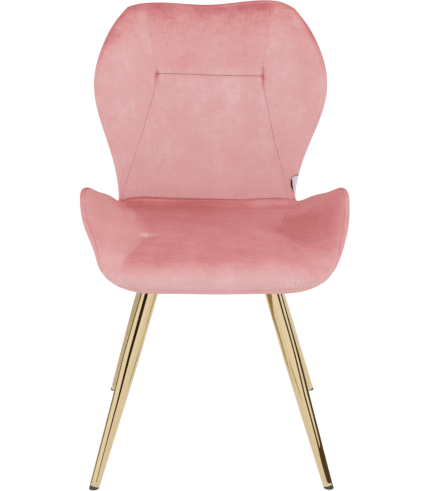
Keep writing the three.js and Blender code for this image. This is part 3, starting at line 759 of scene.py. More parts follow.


# Tone of the velvet front: random mottling of the pile, with painted light and shade laid over it: painted highlights,
# and painted shade in creases, on upward faces and along the edges
def nap_and_shade_of(n, points, base, crease_shade, seam_highlight, u, s):
    value = facing_shade(n)
    value = value + 0.03 * swell(points * 1.7) + 0.02 * ripple(points * 1.3)
    # painted shade in the creases, deeper on the left of the seat, less the painted highlight along the long seams
    value = value + (0.16 + 0.22 * (1 - smooth(-0.2, 0.3, u)) * (s < 8.2)) * crease_shade - seam_highlight
    # painted light on the left arm, most of all on its inner slope, and painted shade on the right arm, a little deeper
    # there
    left = smooth(0.46, 0.60, -u) * smooth(0.8, 2.6, s) * (1 - smooth(6.0, 7.6, s))
    value = value - 0.31 * left * (1 - 0.5 * smooth(0.74, 0.98, -u))
    inner = smooth(0.44, 0.56, u) * (1 - smooth(0.78, 1.0, u)) * smooth(2.9, 4.0, s) * (1 - smooth(5.3, 6.9, s))
    value = value + 0.24 * inner + 0.10 * smooth(0.80, 0.95, u) * smooth(3.0, 4.5, s) * (1 - smooth(6.5, 8.0, s))
    # painted shade at the back of the seat on the left, under the back, and along the front roll
    value = value + 0.31 * (1 - smooth(-0.15, 0.30, u)) * (1 - smooth(0.5, 0.62, -u)) * smooth(6.3, 7.4, s) * (1 - smooth(7.98, 8.02, s))
    # the back a little paler in the lower middle
    value = value - 0.035 * smooth(8.4, 9.2, s) * (1 - smooth(11.6, 12.0, s)) * (1 - smooth(0.44, 0.52, np.abs(u)))
    value = value - 0.045 * bump(u, 0.30, 0.25) * bump(s, 11.2, 0.8) - 0.04 * bump(u, -0.28, 0.2) * bump(s, 9.4, 0.6)
    # painted light and shade on the small gathers above the lower corner on the right
    value = value + 0.16 * gathers(u, s)
    # painted shade and painted highlights over the seat, its front edge, the lower arms and the fold before the crease
    # on the right
    value = value + 0.15 * (1 - smooth(-0.15, 0.30, u)) * (1 - smooth(0.48, 0.6, -u)) * smooth(4.4, 5.6, s) * (1 - smooth(6.4, 7.2, s))
    value = value + 0.10 * bump(s, 1.6, 0.8) + 0.05 * (1 - smooth(-0.1, 0.3, u)) * bump(s, 2.7, 0.7) * (1 - smooth(0.5, 0.6, -u))
    value = value - 0.14 * smooth(0.42, 0.62, u) * bump(s, 2.3, 0.6) - 0.08 * smooth(0.48, 0.56, -u) * bump(s, 2.2, 0.5)
    value = value + (0.08 + 0.05 * bump(u, -0.25, 0.15)) * bump(s, 2.2, 0.45) * (1 - smooth(0.36, 0.50, np.abs(u)))
    value = value - 0.10 * (1 - smooth(0.1, 0.9, s)) + 0.05 * smooth(0.74, 0.86, -u) * smooth(2.2, 3.2, s) * (1 - smooth(5.6, 6.6, s))
    value = value - 0.16 * bump(s, 7.8, 0.25) * smooth(0.22, 0.38, u) * (1 - smooth(0.50, 0.58, u))
    value = value + 0.06 * bump(u, -0.62, 0.08) * bump(s, 3.3, 0.5)
    # painted shade in a band along the rim of the back, where the surface turns away from the light
    rim = curve_distance(base, RIM_LINE)
    value = value + 0.16 * np.exp(-rim / 7.0) * smooth(8.3, 10.0, s)
    # painted shade in a broad soft band towards the top edge, and deepening above the cross seam
    value = value + top_edge_shade(points, rim, 1 - smooth(0.45, 0.8, np.abs(u)))
    value = value + (0.19 * smooth(11.95, 12.3, s) + 0.05 * smooth(12.6, 13.6, s)) * (1 - smooth(0.40, 0.60, np.abs(u)))
    # painted highlights and shade at the points of the arm seams
    rho = length(points - (PINCH[-1] + np.array([-5.0, 6.0, 1.0])))
    value = value - 0.65 * np.exp(-((rho / 10.5) ** 2))
    off = points - (PINCH[-1] + np.array([9.0, 1.0, 0.0]))
    value = value - 0.38 * np.exp(-((off[..., 0] / 11.0) ** 2) - ((off[..., 1] / 4.5) ** 2) - ((off[..., 2] / 8.0) ** 2))
    # painted light and shade in lines radiating from the left point
    rho, angle, x, y = around(points, PINCH[-1], -X, Y)
    value = value - 0.22 * np.cos(9 * angle + 0.4) * smooth(1, 6, rho) * np.exp(-rho / 12.0) * (np.abs(points[..., 2] - PINCH[-1][2]) < 40)
    # painted shade on the inner slope up and to the right of the right point
    rho = length(points - (PINCH[1] + np.array([12.0, 16.0, 3.0])))
    value = value + 0.22 * np.exp(-((rho / 22.0) ** 2))
    # painted shade in the dimples at the ends of the cross seam, with a painted highlight beside each
    for m in (-1, 1):
        off = points - SEAM_END[m]
        high = -1.0 if m < 0 else 12.0
        lane = np.exp(-((off[..., 0] / 5.0) ** 2)) * smooth(-34, -12, off[..., 2]) * (1 - smooth(high, high + 11.0, off[..., 2]))
        value = value + (0.44 + 0.12 * ripple(points * 3.0)) * lane
        side = off[..., 0] * m + 9.0
        value = value - 0.14 * np.exp(-((side / 4.0) ** 2)) * smooth(-26, -8, off[..., 2]) * (1 - smooth(8, 22, off[..., 2]))
    return np.clip(value, -0.18, 1)


# ------------------------------------------------------------------ rear cover
def cover_piece(name, s_from, s_to, opening=None):
    """A thin cloth skin over the rear face between two stations, turned round the rim to the sewn line on the front.
    The rear face is a grid; a strip runs round its three rim sides."""
    closed_low = s_from <= 0  # the strip passes along the front lip, or along the top edge
    inset = 15.0 if not closed_low else 9.0
    v = graded(480, 2.5, 4.2, 0.2)
    w = graded(430, 2.5, 4.2, 0.2)
    v = v * 2 - 1
    if closed_low:
        sa, sb = (lambda u: rim_s0(u, inset)), (lambda u: s_to + 0 * u)
    else:
        sa, sb = (lambda u: s_from + 0 * u), (lambda u: rim_s1(u, inset))
    vv, ww = v[None, :], w[:, None]
    s = 0.5 * (s_from + s_to) + 0 * vv + 0 * ww
    cap = lambda q: np.minimum(inset, 0.32 / (1 / np.interp(q, S_FINE, UNIT_U)))
    for _ in range(3):
        u = vv * rim_u(s, cap(s))
        uc = np.clip(u, -1, 1)
        s = sa(uc) + ww * (sb(uc) - sa(uc))
    u = vv * rim_u(s, cap(s))
    if opening:
        # the column nearest v = 0.5; it is not used further
        k = np.argmin(np.abs(v - 0.5 / 1.0))
        pass
    grid = skin(u, s, -1)
    n, m = u.shape
    # the strip starts from the boundary of the grid: left side, far edge and right side
    if closed_low:
        order = [(i, 0) for i in range(n - 1, 0, -1)] + [(0, j) for j in range(m)] + [(i, m - 1) for i in range(1, n)]
    else:
        order = [(i, 0) for i in range(n - 1)] + [(n - 1, j) for j in range(m)] + [(i, m - 1) for i in range(n - 2, -1, -1)]
    order = np.array(order)
    bu, bs = u[order[:, 0], order[:, 1]], s[order[:, 0], order[:, 1]]
    edge_s = s_from if not closed_low else s_to
    end_s = LAST if not closed_low else 0.0
    # share of the way from the seam between the covers to the far rim
    reach_b = (bs - edge_s) / ((rim_s1(0.0, inset) if not closed_low else rim_s0(0.0, inset)) - edge_s)
    on_side = (order[:, 1] == 0) | (order[:, 1] == m - 1)
    on_end = (order[:, 0] == (0 if closed_low else n - 1))
    ru, rs = np.empty(len(order)), np.empty(len(order))
    wu, ws = np.empty(len(order)), np.empty(len(order))
    far_rim = (lambda q: rim_s0(q)) if closed_low else (lambda q: rim_s1(q))
    far_welt = (lambda q: rim_s0(q, WELT)) if closed_low else (lambda q: rim_s1(q, WELT))
    for k in range(len(order)):
        sign = -1 if order[k, 1] < m / 2 else 1
        if on_side[k]:
            corner_b = s[0 if closed_low else n - 1, order[k, 1]]
            share = (bs[k] - edge_s) / (corner_b - edge_s)
            rs[k] = edge_s + share * (far_rim(np.array(float(sign))) - edge_s)
            ru[k] = sign * rim_u(rs[k])
            ws[k] = edge_s + share * (far_welt(np.array(float(sign))) - edge_s)
            wu[k] = sign * rim_u(ws[k], WELT - welt_gap(ws[k]))
        else:
            share = bu[k] / abs(u[order[k, 0], 0 if bu[k] < 0 else m - 1])
            corner_rs = far_rim(np.array(1.0))
            ru[k] = share * rim_u(corner_rs)
            rs[k] = far_rim(np.clip(ru[k], -1, 1))
            corner_ws = far_welt(np.array(1.0))
            wu[k] = share * rim_u(corner_ws, WELT - welt_gap(corner_ws))
            ws[k] = far_welt(np.clip(wu[k], -1, 1))
    ang = np.radians(np.array([78, 64, 52, 41, 31, 22, 14, 7, 0]))
    rows_u, rows_s, rows_side = [], [], []
    for a in 1 - np.cos(ang):  # rear side, from near the grid out to the rim
        rows_u.append(ru + (bu - ru) * a)
        rows_s.append(rs + (bs - rs) * a)
        rows_side.append(-1)
    for a in 1 - np.cos(np.radians(np.array([12, 22, 33, 44, 55, 65, 74, 80, 85, 90]))):
        rows_u.append(ru + (wu - ru) * a)
        rows_s.append(rs + (ws - rs) * a)
        rows_side.append(1)
    ring = np.stack([skin(a, b, c) for a, b, c in zip(rows_u, rows_s, rows_side)])
    first = grid[order[:, 0], order[:, 1]][None]
    ring = np.concatenate([first, ring])
    # the cloth turns down into the welt line
    flat = ring[-1]
    d = length(ring - flat[None])
    # rows of the strip run from the rear round to the front, columns along the rim
    rn = normals_of(ring)
    centre = middle(np.zeros(1), np.array([(s_from + s_to) / 2]))[0]
    turn_sign = 1.0
    outward = ring[9] - 0.5 * (ring[0] + ring[-1])
    if (rn[9] * outward).sum() < 0:
        turn_sign = -1.0
    rn = rn * turn_sign
    lowered = ring - rn * np.where(np.arange(len(ring))[:, None] > 9, turned(d, 0.9) + 0.15 * np.exp(-((d / 2.2) ** 1.35)), 0)[..., None]
    ring = lowered
    gn = -normals_of(grid)
    soft = (0.55 * swell(grid) + 0.2 * ripple(grid)) * smooth(6.0, 30.0, curve_distance(grid, RIM_LINE))
    seam_line = grid[0] if not closed_low else grid[-1]
    ds = curve_distance(grid, seam_line)
    hide = (turned(ds, 1.6) + 1.0 * np.exp(-((ds / 5.0) ** 1.35))) * (1 - 0.85 * smooth(0.55, 0.95, np.abs(vv)))
    grid = grid + gn * (soft - hide)[..., None]
    ds2 = curve_distance(ring[1:], seam_line) if False else None
    # join the two surfaces: grid vertices first, then the strip without its first row
    verts = [grid.reshape(-1, 3)]
    ids = grid_ids(n, m)
    start = ids[order[:, 0], order[:, 1]]
    strip_ids = np.concatenate([start[None], grid_ids(len(ring) - 1, len(order), n * m)])
    verts.append(ring[1:].reshape(-1, 3))
    verts = np.concatenate(verts)
    in_opening = None
    if opening:
        cu = 0.25 * (u[:-1, :-1] + u[1:, :-1] + u[:-1, 1:] + u[1:, 1:])
        cs = 0.25 * (s[:-1, :-1] + s[1:, :-1] + s[:-1, 1:] + s[1:, 1:])
        in_opening = (np.abs(cu) < opening[0]) & (cs > opening[1]) & (cs < opening[2])
    # rear side faces away from the front, so the grid is flipped
    outer = quads(ids, flip=True)
    if in_opening is not None:
        outer = outer[~in_opening.ravel()]
    side_faces = quads(strip_ids, flip=turn_sign < 0)
    # orientation of the strip: same as turn_sign found above
    faces = np.concatenate([outer, side_faces])
    return verts, faces


def vertex_normals(verts, faces):
    n = np.zeros(verts.shape)
    a, b, c, d = (verts[faces[:, k]] for k in range(4))
    fn = np.cross(c - a, d - b)
    for k in range(4):
        np.add.at(n, faces[:, k], fn)
    return n / np.maximum(length(n), 1e-12)[:, None]


def thicken(verts, faces, thick):
    """A closed thin solid: the given outer surface, a second one inside it, and a rim where it is open."""
    n = vertex_normals(verts, faces)
    inner = verts - n * thick
    k = len(verts)
    edges = np.concatenate([faces[:, [0, 1]], faces[:, [1, 2]], faces[:, [2, 3]], faces[:, [3, 0]]])
    key = np.sort(edges, axis=1)
    _, index, counts = np.unique(key, axis=0, return_index=True, return_counts=True)
    border = edges[index[counts == 1]]
    rim = np.stack([border[:, 1], border[:, 0], border[:, 0] + k, border[:, 1] + k], axis=1)
    back = faces[:, ::-1] + k
    return np.concatenate([verts, inner]), np.concatenate([faces, back, rim]), np.concatenate([n, -n])


# tone of the rear cover: painted shade by the normal and along the top edge, over a random mottling
def rear_nap_and_shade(points, n):
    m = n.copy()
    m[:, 1] = -np.abs(m[:, 1])
    band = top_edge_shade(points, curve_distance(points, RIM_LINE), 0.0)
    return np.clip(facing_shade(m) + 0.10 + band + 0.05 * swell(points * 1.7) + 0.03 * ripple(points * 1.3), -0.18, 1)


def build_cover(name, s_from, s_to, opening=None):
    verts, faces = cover_piece(name, s_from, s_to, opening)
    used = np.unique(faces)
    table = np.full(len(verts), -1)
    table[used] = np.arange(len(used))
    verts, faces = verts[used], table[faces]
    verts, faces, n = thicken(verts, faces, 1.5)
    return new_mesh(name, verts, faces, attributes={"nap_and_shade": rear_nap_and_shade(verts, n), "grain": np.ones(len(verts))})


# ------------------------------------------------------------------ materials
def socket(node, *names):
    for x in names:
        if x in node.inputs:
            return node.inputs[x]
    raise KeyError(names)


def material(name, colour, roughness, metallic=0.0, specular=0.5):
    m = bpy.data.materials.new(name)
    m.use_nodes = True
    nt = m.node_tree
    bsdf = nt.nodes["Principled BSDF"]
    bsdf.inputs["Base Color"].default_value = (*colour, 1)
    bsdf.inputs["Roughness"].default_value = roughness
    bsdf.inputs["Metallic"].default_value = metallic
    bsdf.inputs["Specular IOR Level"].default_value = specular
    return m, nt, bsdf


def noise(nt, scale, detail=2.0, rough=0.5, vector=None, kind="FBM"):
    node = nt.nodes.new("ShaderNodeTexNoise")
    node.inputs["Scale"].default_value = scale
    node.inputs["Detail"].default_value = detail
    node.inputs["Roughness"].default_value = rough
    if vector is not None:
        nt.links.new(vector, node.inputs["Vector"])
    return node.outputs["Fac"]


def maths(nt, op, a, b=None, clamp=False):
    node = nt.nodes.new("ShaderNodeMath")
    node.operation = op
    node.use_clamp = clamp
    for i, x in enumerate((a, b)):
        if x is None:
            continue
        if isinstance(x, (int, float)):
            node.inputs[i].default_value = x
        else:
            nt.links.new(x, node.inputs[i])
    return node.outputs[0]


def mapping(nt, scale=(1, 1, 1), rotation=(0, 0, 0)):
    tc = nt.nodes.new("ShaderNodeTexCoord")
    mp = nt.nodes.new("ShaderNodeMapping")
    mp.inputs["Scale"].default_value = scale
    mp.inputs["Rotation"].default_value = rotation
    nt.links.new(tc.outputs["Object"], mp.inputs["Vector"])
    return mp.outputs["Vector"]


def ramp(nt, fac, stops):
    node = nt.nodes.new("ShaderNodeValToRGB")
    node.color_ramp.elements.remove(node.color_ramp.elements[1])
    for i, (pos, colour) in enumerate(stops):
        e = node.color_ramp.elements[0] if i == 0 else node.color_ramp.elements.new(pos)
        e.position = pos
        e.color = (*colour, 1)
    nt.links.new(fac, node.inputs["Fac"])
    return node.outputs["Color"]


def bump_node(nt, height, strength, distance, normal=None):
    node = nt.nodes.new("ShaderNodeBump")
    node.inputs["Strength"].default_value = strength
    node.inputs["Distance"].default_value = distance
    nt.links.new(height, node.inputs["Height"])
    if normal is not None:
        nt.links.new(normal, node.inputs["Normal"])
    return node.outputs["Normal"]


def srgb(r, g, b):
    f = lambda c: c / 12.92 if c <= 0.04045 else ((c + 0.055) / 1.055) ** 2.4
    return tuple(f(x / 255) for x in (r, g, b))


def velvet():
    m, nt, bsdf = material("velvet_rose", (0.7, 0.3, 0.3), 0.82, specular=0.12)
    # the vertex value carries the random tone of the pile and the painted light and shade
    nap_and_shade = nt.nodes.new("ShaderNodeAttribute")
    nap_and_shade.attribute_name = "nap_and_shade"
    where = mapping(nt)
    cloud = noise(nt, 22.0, 3.0, 0.6, where)
    down = noise(nt, 230.0, 2.0, 0.6, mapping(nt, (1.0, 1.0, 0.16)))
    across = noise(nt, 230.0, 2.0, 0.6, mapping(nt, (0.16, 0.7, 1.0)))
    pile = noise(nt, 620.0, 2.0, 0.6, where)
    brushed = maths(nt, "MULTIPLY", maths(nt, "ADD", down, across), 0.5)
    v = maths(nt, "ADD", nap_and_shade.outputs["Fac"], maths(nt, "MULTIPLY", maths(nt, "SUBTRACT", cloud, 0.5), 0.06))
    grain = nt.nodes.new("ShaderNodeAttribute")
    grain.attribute_name = "grain"
    strokes = maths(nt, "MULTIPLY", maths(nt, "SUBTRACT", brushed, 0.5), grain.outputs["Fac"])
    v = maths(nt, "ADD", v, maths(nt, "MULTIPLY", strokes, 0.62))
    v = maths(nt, "ADD", v, maths(nt, "MULTIPLY", maths(nt, "SUBTRACT", pile, 0.5), 0.20))
    v = maths(nt, "ADD", maths(nt, "MULTIPLY", v, 0.85), 0.15, clamp=True)
    colour = ramp(nt, v, VELVET_LIT_TO_SHADED)
    nt.links.new(colour, bsdf.inputs["Base Color"])
    n = bump_node(nt, brushed, 0.10, 0.0012)
    n = bump_node(nt, pile, 0.22, 0.0006, n)
    nt.links.new(n, bsdf.inputs["Normal"])
    bsdf.inputs["Sheen Weight"].default_value = 0.12
    bsdf.inputs["Sheen Roughness"].default_value = 0.45
    bsdf.inputs["Sheen Tint"].default_value = (1.0, 0.72, 0.72, 1)
    return m


# velvet colours from the lightest, for painted light, to the deepest, for painted shade
VELVET_LIT_TO_SHADED = (
    (0.0, (0.765, 0.500, 0.494)),
    (0.15, (0.735, 0.420, 0.418)),
    (0.45, (0.700, 0.340, 0.336)),
    (0.745, (0.625, 0.225, 0.229)),
    (1.0, (0.530, 0.150, 0.154)),
)


def gold():
    m, nt, bsdf = material("polished_gold", (0.72, 0.56, 0.34), 0.06, metallic=1.0)
    where = mapping(nt)
    tint = noise(nt, 9.0, 2.0, 0.5, where)
    colour = ramp(nt, tint, ((0.25, (0.630, 0.492, 0.287)), (0.75, (0.655, 0.515, 0.310))))
    nt.links.new(colour, bsdf.inputs["Base Color"])
    # fine polishing marks along the tube
    marks = noise(nt, 900.0, 2.0, 0.5, mapping(nt, (1, 1, 0.03)))
    nt.links.new(bump_node(nt, marks, 0.02, 0.0002), bsdf.inputs["Normal"])
    rough = maths(nt, "ADD", maths(nt, "MULTIPLY", noise(nt, 40.0, 3.0, 0.6, where), 0.06), 0.05)
    nt.links.new(rough, bsdf.inputs["Roughness"])
    return m


def speckled(name, colour, roughness, metallic, scale, amount, bump_strength, distance=0.0003, specular=0.5):
    m, nt, bsdf = material(name, colour, roughness, metallic, specular)
    where = mapping(nt)
    grain = noise(nt, scale, 4.0, 0.6, where)
    lo = tuple(max(0.0, c * (1 - amount)) for c in colour)
    hi = tuple(min(1.0, c * (1 + amount)) for c in colour)
    nt.links.new(ramp(nt, grain, ((0.3, lo), (0.7, hi))), bsdf.inputs["Base Color"])
    nt.links.new(bump_node(nt, grain, bump_strength, distance), bsdf.inputs["Normal"])
    return m


def plywood():
    m, nt, bsdf = material("plywood", (0.55, 0.36, 0.19), 0.7)
    where = mapping(nt, (1.0, 12.0, 12.0))
    grain = noise(nt, 14.0, 5.0, 0.6, where)
    plies = nt.nodes.new("ShaderNodeTexWave")
    plies.wave_type = "BANDS"
    plies.bands_direction = "Z"
    plies.inputs["Scale"].default_value = 105.0
    plies.inputs["Distortion"].default_value = 0.4
    nt.links.new(mapping(nt), plies.inputs["Vector"])
    v = maths(nt, "ADD", maths(nt, "MULTIPLY", grain, 0.8), maths(nt, "MULTIPLY", plies.outputs["Fac"], 0.2))
    nt.links.new(ramp(nt, v, ((0.25, (0.36, 0.21, 0.10)), (0.55, (0.56, 0.37, 0.20)), (0.8, (0.66, 0.47, 0.28)))), bsdf.inputs["Base Color"])
    nt.links.new(bump_node(nt, grain, 0.1, 0.0003), bsdf.inputs["Normal"])
    return m


def woven(name, colour, scale, roughness=0.95):
    m, nt, bsdf = material(name, colour, roughness, specular=0.1)
    a = nt.nodes.new("ShaderNodeTexWave")
    a.bands_direction = "X"
    a.inputs["Scale"].default_value = scale
    b = nt.nodes.new("ShaderNodeTexWave")
    b.bands_direction = "Y"
    b.inputs["Scale"].default_value = scale
    for w in (a, b):
        w.inputs["Distortion"].default_value = 1.0
        nt.links.new(mapping(nt), w.inputs["Vector"])
    weave = maths(nt, "MULTIPLY", a.outputs["Fac"], b.outputs["Fac"])
    lo = tuple(c * 0.7 for c in colour)
    hi = tuple(min(1.0, c * 1.25) for c in colour)
    nt.links.new(ramp(nt, weave, ((0.0, lo), (1.0, hi))), bsdf.inputs["Base Color"])
    nt.links.new(bump_node(nt, weave, 0.25, 0.0004), bsdf.inputs["Normal"])
    return m


VELVET = velvet()
GOLD = gold()
PLATE = speckled("black_plate", (0.018, 0.018, 0.02), 0.5, 0.0, 500.0, 0.3, 0.15)
ZINC = speckled("zinc", (0.55, 0.56, 0.58), 0.32, 1.0, 300.0, 0.12, 0.08)
GLIDE = speckled("glide_rubber", (0.055, 0.050, 0.042), 0.65, 0.0, 700.0, 0.3, 0.2)
MOULDED = speckled("moulded_shell", (0.028, 0.027, 0.026), 0.6, 0.0, 200.0, 0.3, 0.2)
PLY = plywood()
DUST = woven("dust_cloth", (0.012, 0.012, 0.014), 420.0)
TAB = woven("tab_cloth", (0.86, 0.76, 0.80), 900.0, 0.9)
# dark plum edge of the label: a stitched edge with painted shadow along it and along the top
TAB_EDGE_AND_SHADOW = woven("tab_edge_and_shadow", (0.11, 0.025, 0.05), 900.0, 0.9)


def finish_piece(obj, mats, nodes=()):
    for x in mats if isinstance(mats, (list, tuple)) else [mats]:
        obj.data.materials.append(x)
    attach(obj, "root")
    if nodes:
        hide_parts(*nodes)
    return obj


# ------------------------------------------------------------------ body
PANEL_FILL = {"seat": 0.85, "back_lower": 0.85, "back_upper": 0.85, "arm_left": 0.9, "arm_right": 0.9, "wing_left": 0.9, "wing_right": 0.9}
for panel_name, fill in PANEL_FILL.items():
    piece = build_panel(panel_name)
    finish_piece(piece, VELVET, ("velvet_" + panel_name, "foam_" + panel_name))

cover_back = build_cover("cover_rear_back", CREASE + 0.004, LAST)
finish_piece(cover_back, VELVET, ("rear_cover_back",))
cover_seat = build_cover("cover_rear_seat", 0.0, CREASE - 0.004, opening=(0.462, 1.66, 7.0))
finish_piece(cover_seat, VELVET, ("rear_cover_seat",))


def build_core():
    """The moulded shell between the rear cover and the pads."""
    v = np.linspace(-1, 1, 81)[None, :]
    w = np.linspace(0, 1, 141)[:, None]
    s = 7.5 + 0 * v + 0 * w
    cap = lambda q: np.minimum(8.5, 0.22 * np.interp(q, S_FINE, UNIT_U))
    for _ in range(3):
        u = v * rim_u(s, cap(s))
        uc = np.clip(u, -1, 1)
        s = rim_s0(uc, 8.5) + w * (rim_s1(uc, 8.5) - rim_s0(uc, 8.5))
    u = v * rim_u(s, cap(s))
    f, r = front_face(u, s), rear_face(u, s)
    t = length(f - r)
    sq = np.minimum(1, t / 21)
    edge = 1 - smooth(6, 18, curve_distance((f + r) / 2, RIM_LINE))
    lo = (REAR_COVER + 0.3 + 2.0 * edge) * sq
    hi = np.maximum(core_top(u, s) * sq - 1.4 * edge, lo + 1.2)
    low = r + (f - r) * (lo / t)[..., None]
    high = r + (f - r) * (hi / t)[..., None]
    inside = smooth(0.52, 0.49, np.abs(u)) * smooth(1.40, 1.55, s) * smooth(7.1, 6.95, s)
    lift = np.maximum(0, 397.0 - low[..., 2]) * inside
    low = low + (f - r) * (lift / np.maximum(f[..., 2] - r[..., 2], 5))[..., None]
    high[..., 2] = np.maximum(high[..., 2], low[..., 2] + 1.0)
    n, m = u.shape
    a, b = grid_ids(n, m), grid_ids(n, m, n * m)
    ra, rb = ring_of(a), ring_of(b)
    ra, rb = np.append(ra, ra[0]), np.append(rb, rb[0])
    faces = np.concatenate([quads(b), quads(a, flip=True), strip(rb, ra, flip=True)])
    obj = new_mesh("shell_core", np.concatenate([low.reshape(-1, 3), high.reshape(-1, 3)]), faces)
    return finish_piece(obj, MOULDED, ("structural_shell",))


build_core()

# ------------------------------------------------------------------ legs
LEG_TOP_Z, R_TOP, R_FOOT, KNEE, WALL, LIP = 377.7, 16.1, 9.5, 262.0, 1.6, 0.6
PLATE_HALF, PLATE_Z0, PLATE_Z1, PLATE_CORNER, BOLT_AT = 31.0, 378.0, 382.0, 8.0, 21.0
# where the axis of each leg meets the floor and its plate
LEGS = {
    "front_left": ((-231.0, -232.5), (-120.0, -136.0)),
    "front_right": ((219.5, -232.5), (108.0, -136.0)),
    "rear_left": ((-225.0, 264.5), (-119.5, 105.0)),
    "rear_right": ((227.5, 264.5), (104.0, 105.0)),
}
PLATES = {"front_left": (-118.0, -137.0), "front_right": (108.0, -137.0), "rear_left": (-118.0, 105.0), "rear_right": (105.0, 105.0)}


def lathe_lines(rings, sides):
    """rings: (k, sides, 3) points; faces between neighbouring rings, closed round, and the last ring joined to the first."""
    k = len(rings)
    ids = np.arange(k * sides).reshape(k, sides)
    faces = []
    for i in range(k):
        a, b = ids[i], ids[(i + 1) % k]
        faces.append(np.stack([a, np.roll(a, -1), np.roll(b, -1), b], axis=1))
    return np.concatenate(faces)


def leg_frame(foot, top):
    f = np.array([foot[0], foot[1] - Y_CENTRE, 0.0])
    t = np.array([top[0], top[1] - Y_CENTRE, LEG_TOP_Z])
    d = t - f
    size = np.linalg.norm(d)
    d /= size
    x = np.cross(d, [0.0, 0.0, 1.0])
    x /= np.linalg.norm(x)
    y = np.cross(d, x)
    return f, d, x, y, size


def build_leg(name, foot, top):
    f, d, x, y, size = leg_frame(foot, top)
    tilt = math.acos(d[2])
    end = (LIP + R_FOOT * math.sin(tilt)) / math.cos(tilt)
    sides = 72
    a = np.linspace(0, 2 * math.pi, sides, endpoint=False)
    out = np.cos(a)[:, None] * x + np.sin(a)[:, None] * y

    def radius(h):
        # tapered from the foot to the knee, straight above it, with a soft change between the two
        q = np.clip((h - end) / (KNEE - end), 0, 1.4)
        soft = 0.5 * (q + 1 - np.sqrt((q - 1) ** 2 + 0.0016))
        return R_FOOT + (R_TOP - R_FOOT) * soft

    def ring_at(h, less=0.0):
        return f + d * h + out * (radius(h) - less)

    def top_ring(less=0.0):
        """Where the lines of the straight part meet the plane under the plate."""
        p = f + out * (R_TOP - less)
        return p + d * ((LEG_TOP_Z - p[:, 2]) / d[2])[:, None]

    rings = []
    # a small round at the foot and the tube up to the plate
    for h, shrink in ((0.0, 0.9), (0.25, 0.42), (0.9, 0.0)):
        rings.append(ring_at(end + h, shrink))
    last_h = size - 9.0
    for share in np.linspace(0, 1, 34)[1:]:
        rings.append(ring_at(end + 0.9 + share * (last_h - end - 0.9)))
    rings.append(top_ring())
    rings.append(top_ring(WALL))
    for share in (1.0, 0.66, 0.33, 0.0):
        rings.append(ring_at(end + 0.25 + share * (last_h - end - 0.25), WALL))
    rings = np.stack(rings)
    mid = top_ring()
    faces = lathe_lines(rings, sides)
    obj = new_mesh("tube_" + name, rings.reshape(-1, 3), faces[:, ::-1])
    finish_piece(obj, GOLD, ("leg_" + name,))

    # weld bead between the tube and its plate
    bead = []
    for ang in np.linspace(0, 2 * math.pi, 9)[:-1]:
        rr = 1.7 * (1 + 0.12 * np.sin(9 * a + 1.3) + 0.06 * np.sin(23 * a))
        flat = out.copy()
        flat[:, 2] = 0
        flat /= length(flat)[:, None]
        q = mid + flat * (0.6 + rr * math.cos(ang))[:, None] + np.array([0, 0, 1.0]) * (rr * math.sin(ang) - 0.5)[:, None]
        q[:, 2] = np.minimum(q[:, 2], PLATE_Z0 - 0.02)
        bead.append(q)
    bead = np.stack(bead)
    obj = new_mesh("weld_" + name, bead.reshape(-1, 3), lathe_lines(bead, sides))
    finish_piece(obj, PLATE)

    # glide: a plug in the tube and a foot cut level with the floor
    seat_ring = f + d * (end - 0.3)
    side = seat_ring + out * (R_FOOT - 0.1)
    floor_ring = side - d * (side[:, 2] / d[2])[:, None]
    c = floor_ring.mean(axis=0)
    inner_floor = c + (floor_ring - c) * (1 - 0.5 / R_FOOT)
    inner_floor[:, 2] = 0.0
    reach = length(side - floor_ring)
    rings = [
        inner_floor,
        floor_ring + (side - floor_ring) * np.minimum(0.5, 0.4 / np.maximum(reach, 0.2))[:, None],
        side - (side - floor_ring) * np.minimum(0.2, 0.2 / np.maximum(reach, 0.2))[:, None],
        side - out * 0.3,
        seat_ring + out * 7.6,
        seat_ring + d * 13.3 + out * 7.6,
        seat_ring + d * 14.0 + out * 6.9,
    ]
    low_c = rings[0].mean(axis=0)
    high_c = rings[-1].mean(axis=0)
    flat_rings = np.stack(rings)
    kk = len(rings)
    ids = np.arange(kk * sides).reshape(kk, sides)
    faces = []
    for i in range(kk - 1):
        aa, bb = ids[i], ids[i + 1]
        faces += np.stack([aa, np.roll(aa, -1), np.roll(bb, -1), bb], axis=1).tolist()
    verts = np.concatenate([flat_rings.reshape(-1, 3), low_c[None], high_c[None]])
    lo_id, hi_id = kk * sides, kk * sides + 1
    faces += [[int(ids[0][(i + 1) % sides]), int(ids[0][i]), lo_id] for i in range(sides)]
    faces += [[int(ids[-1][i]), int(ids[-1][(i + 1) % sides]), hi_id] for i in range(sides)]
    obj = new_mesh("foot_glide_" + name, verts, [q[::-1] for q in faces])
    finish_piece(obj, GLIDE, ("glide_" + name,))


def rounded_outline(x0, x1, y0, y1, r, per=10):
    pts = []
    for cx, cy, a0 in ((x1 - r, y0 + r, -90), (x1 - r, y1 - r, 0), (x0 + r, y1 - r, 90), (x0 + r, y0 + r, 180)):
        for k in range(per + 1):
            a = math.radians(a0 + 90 * k / per)
            pts.append((cx + r * math.cos(a), cy + r * math.sin(a)))
    return np.array(pts)


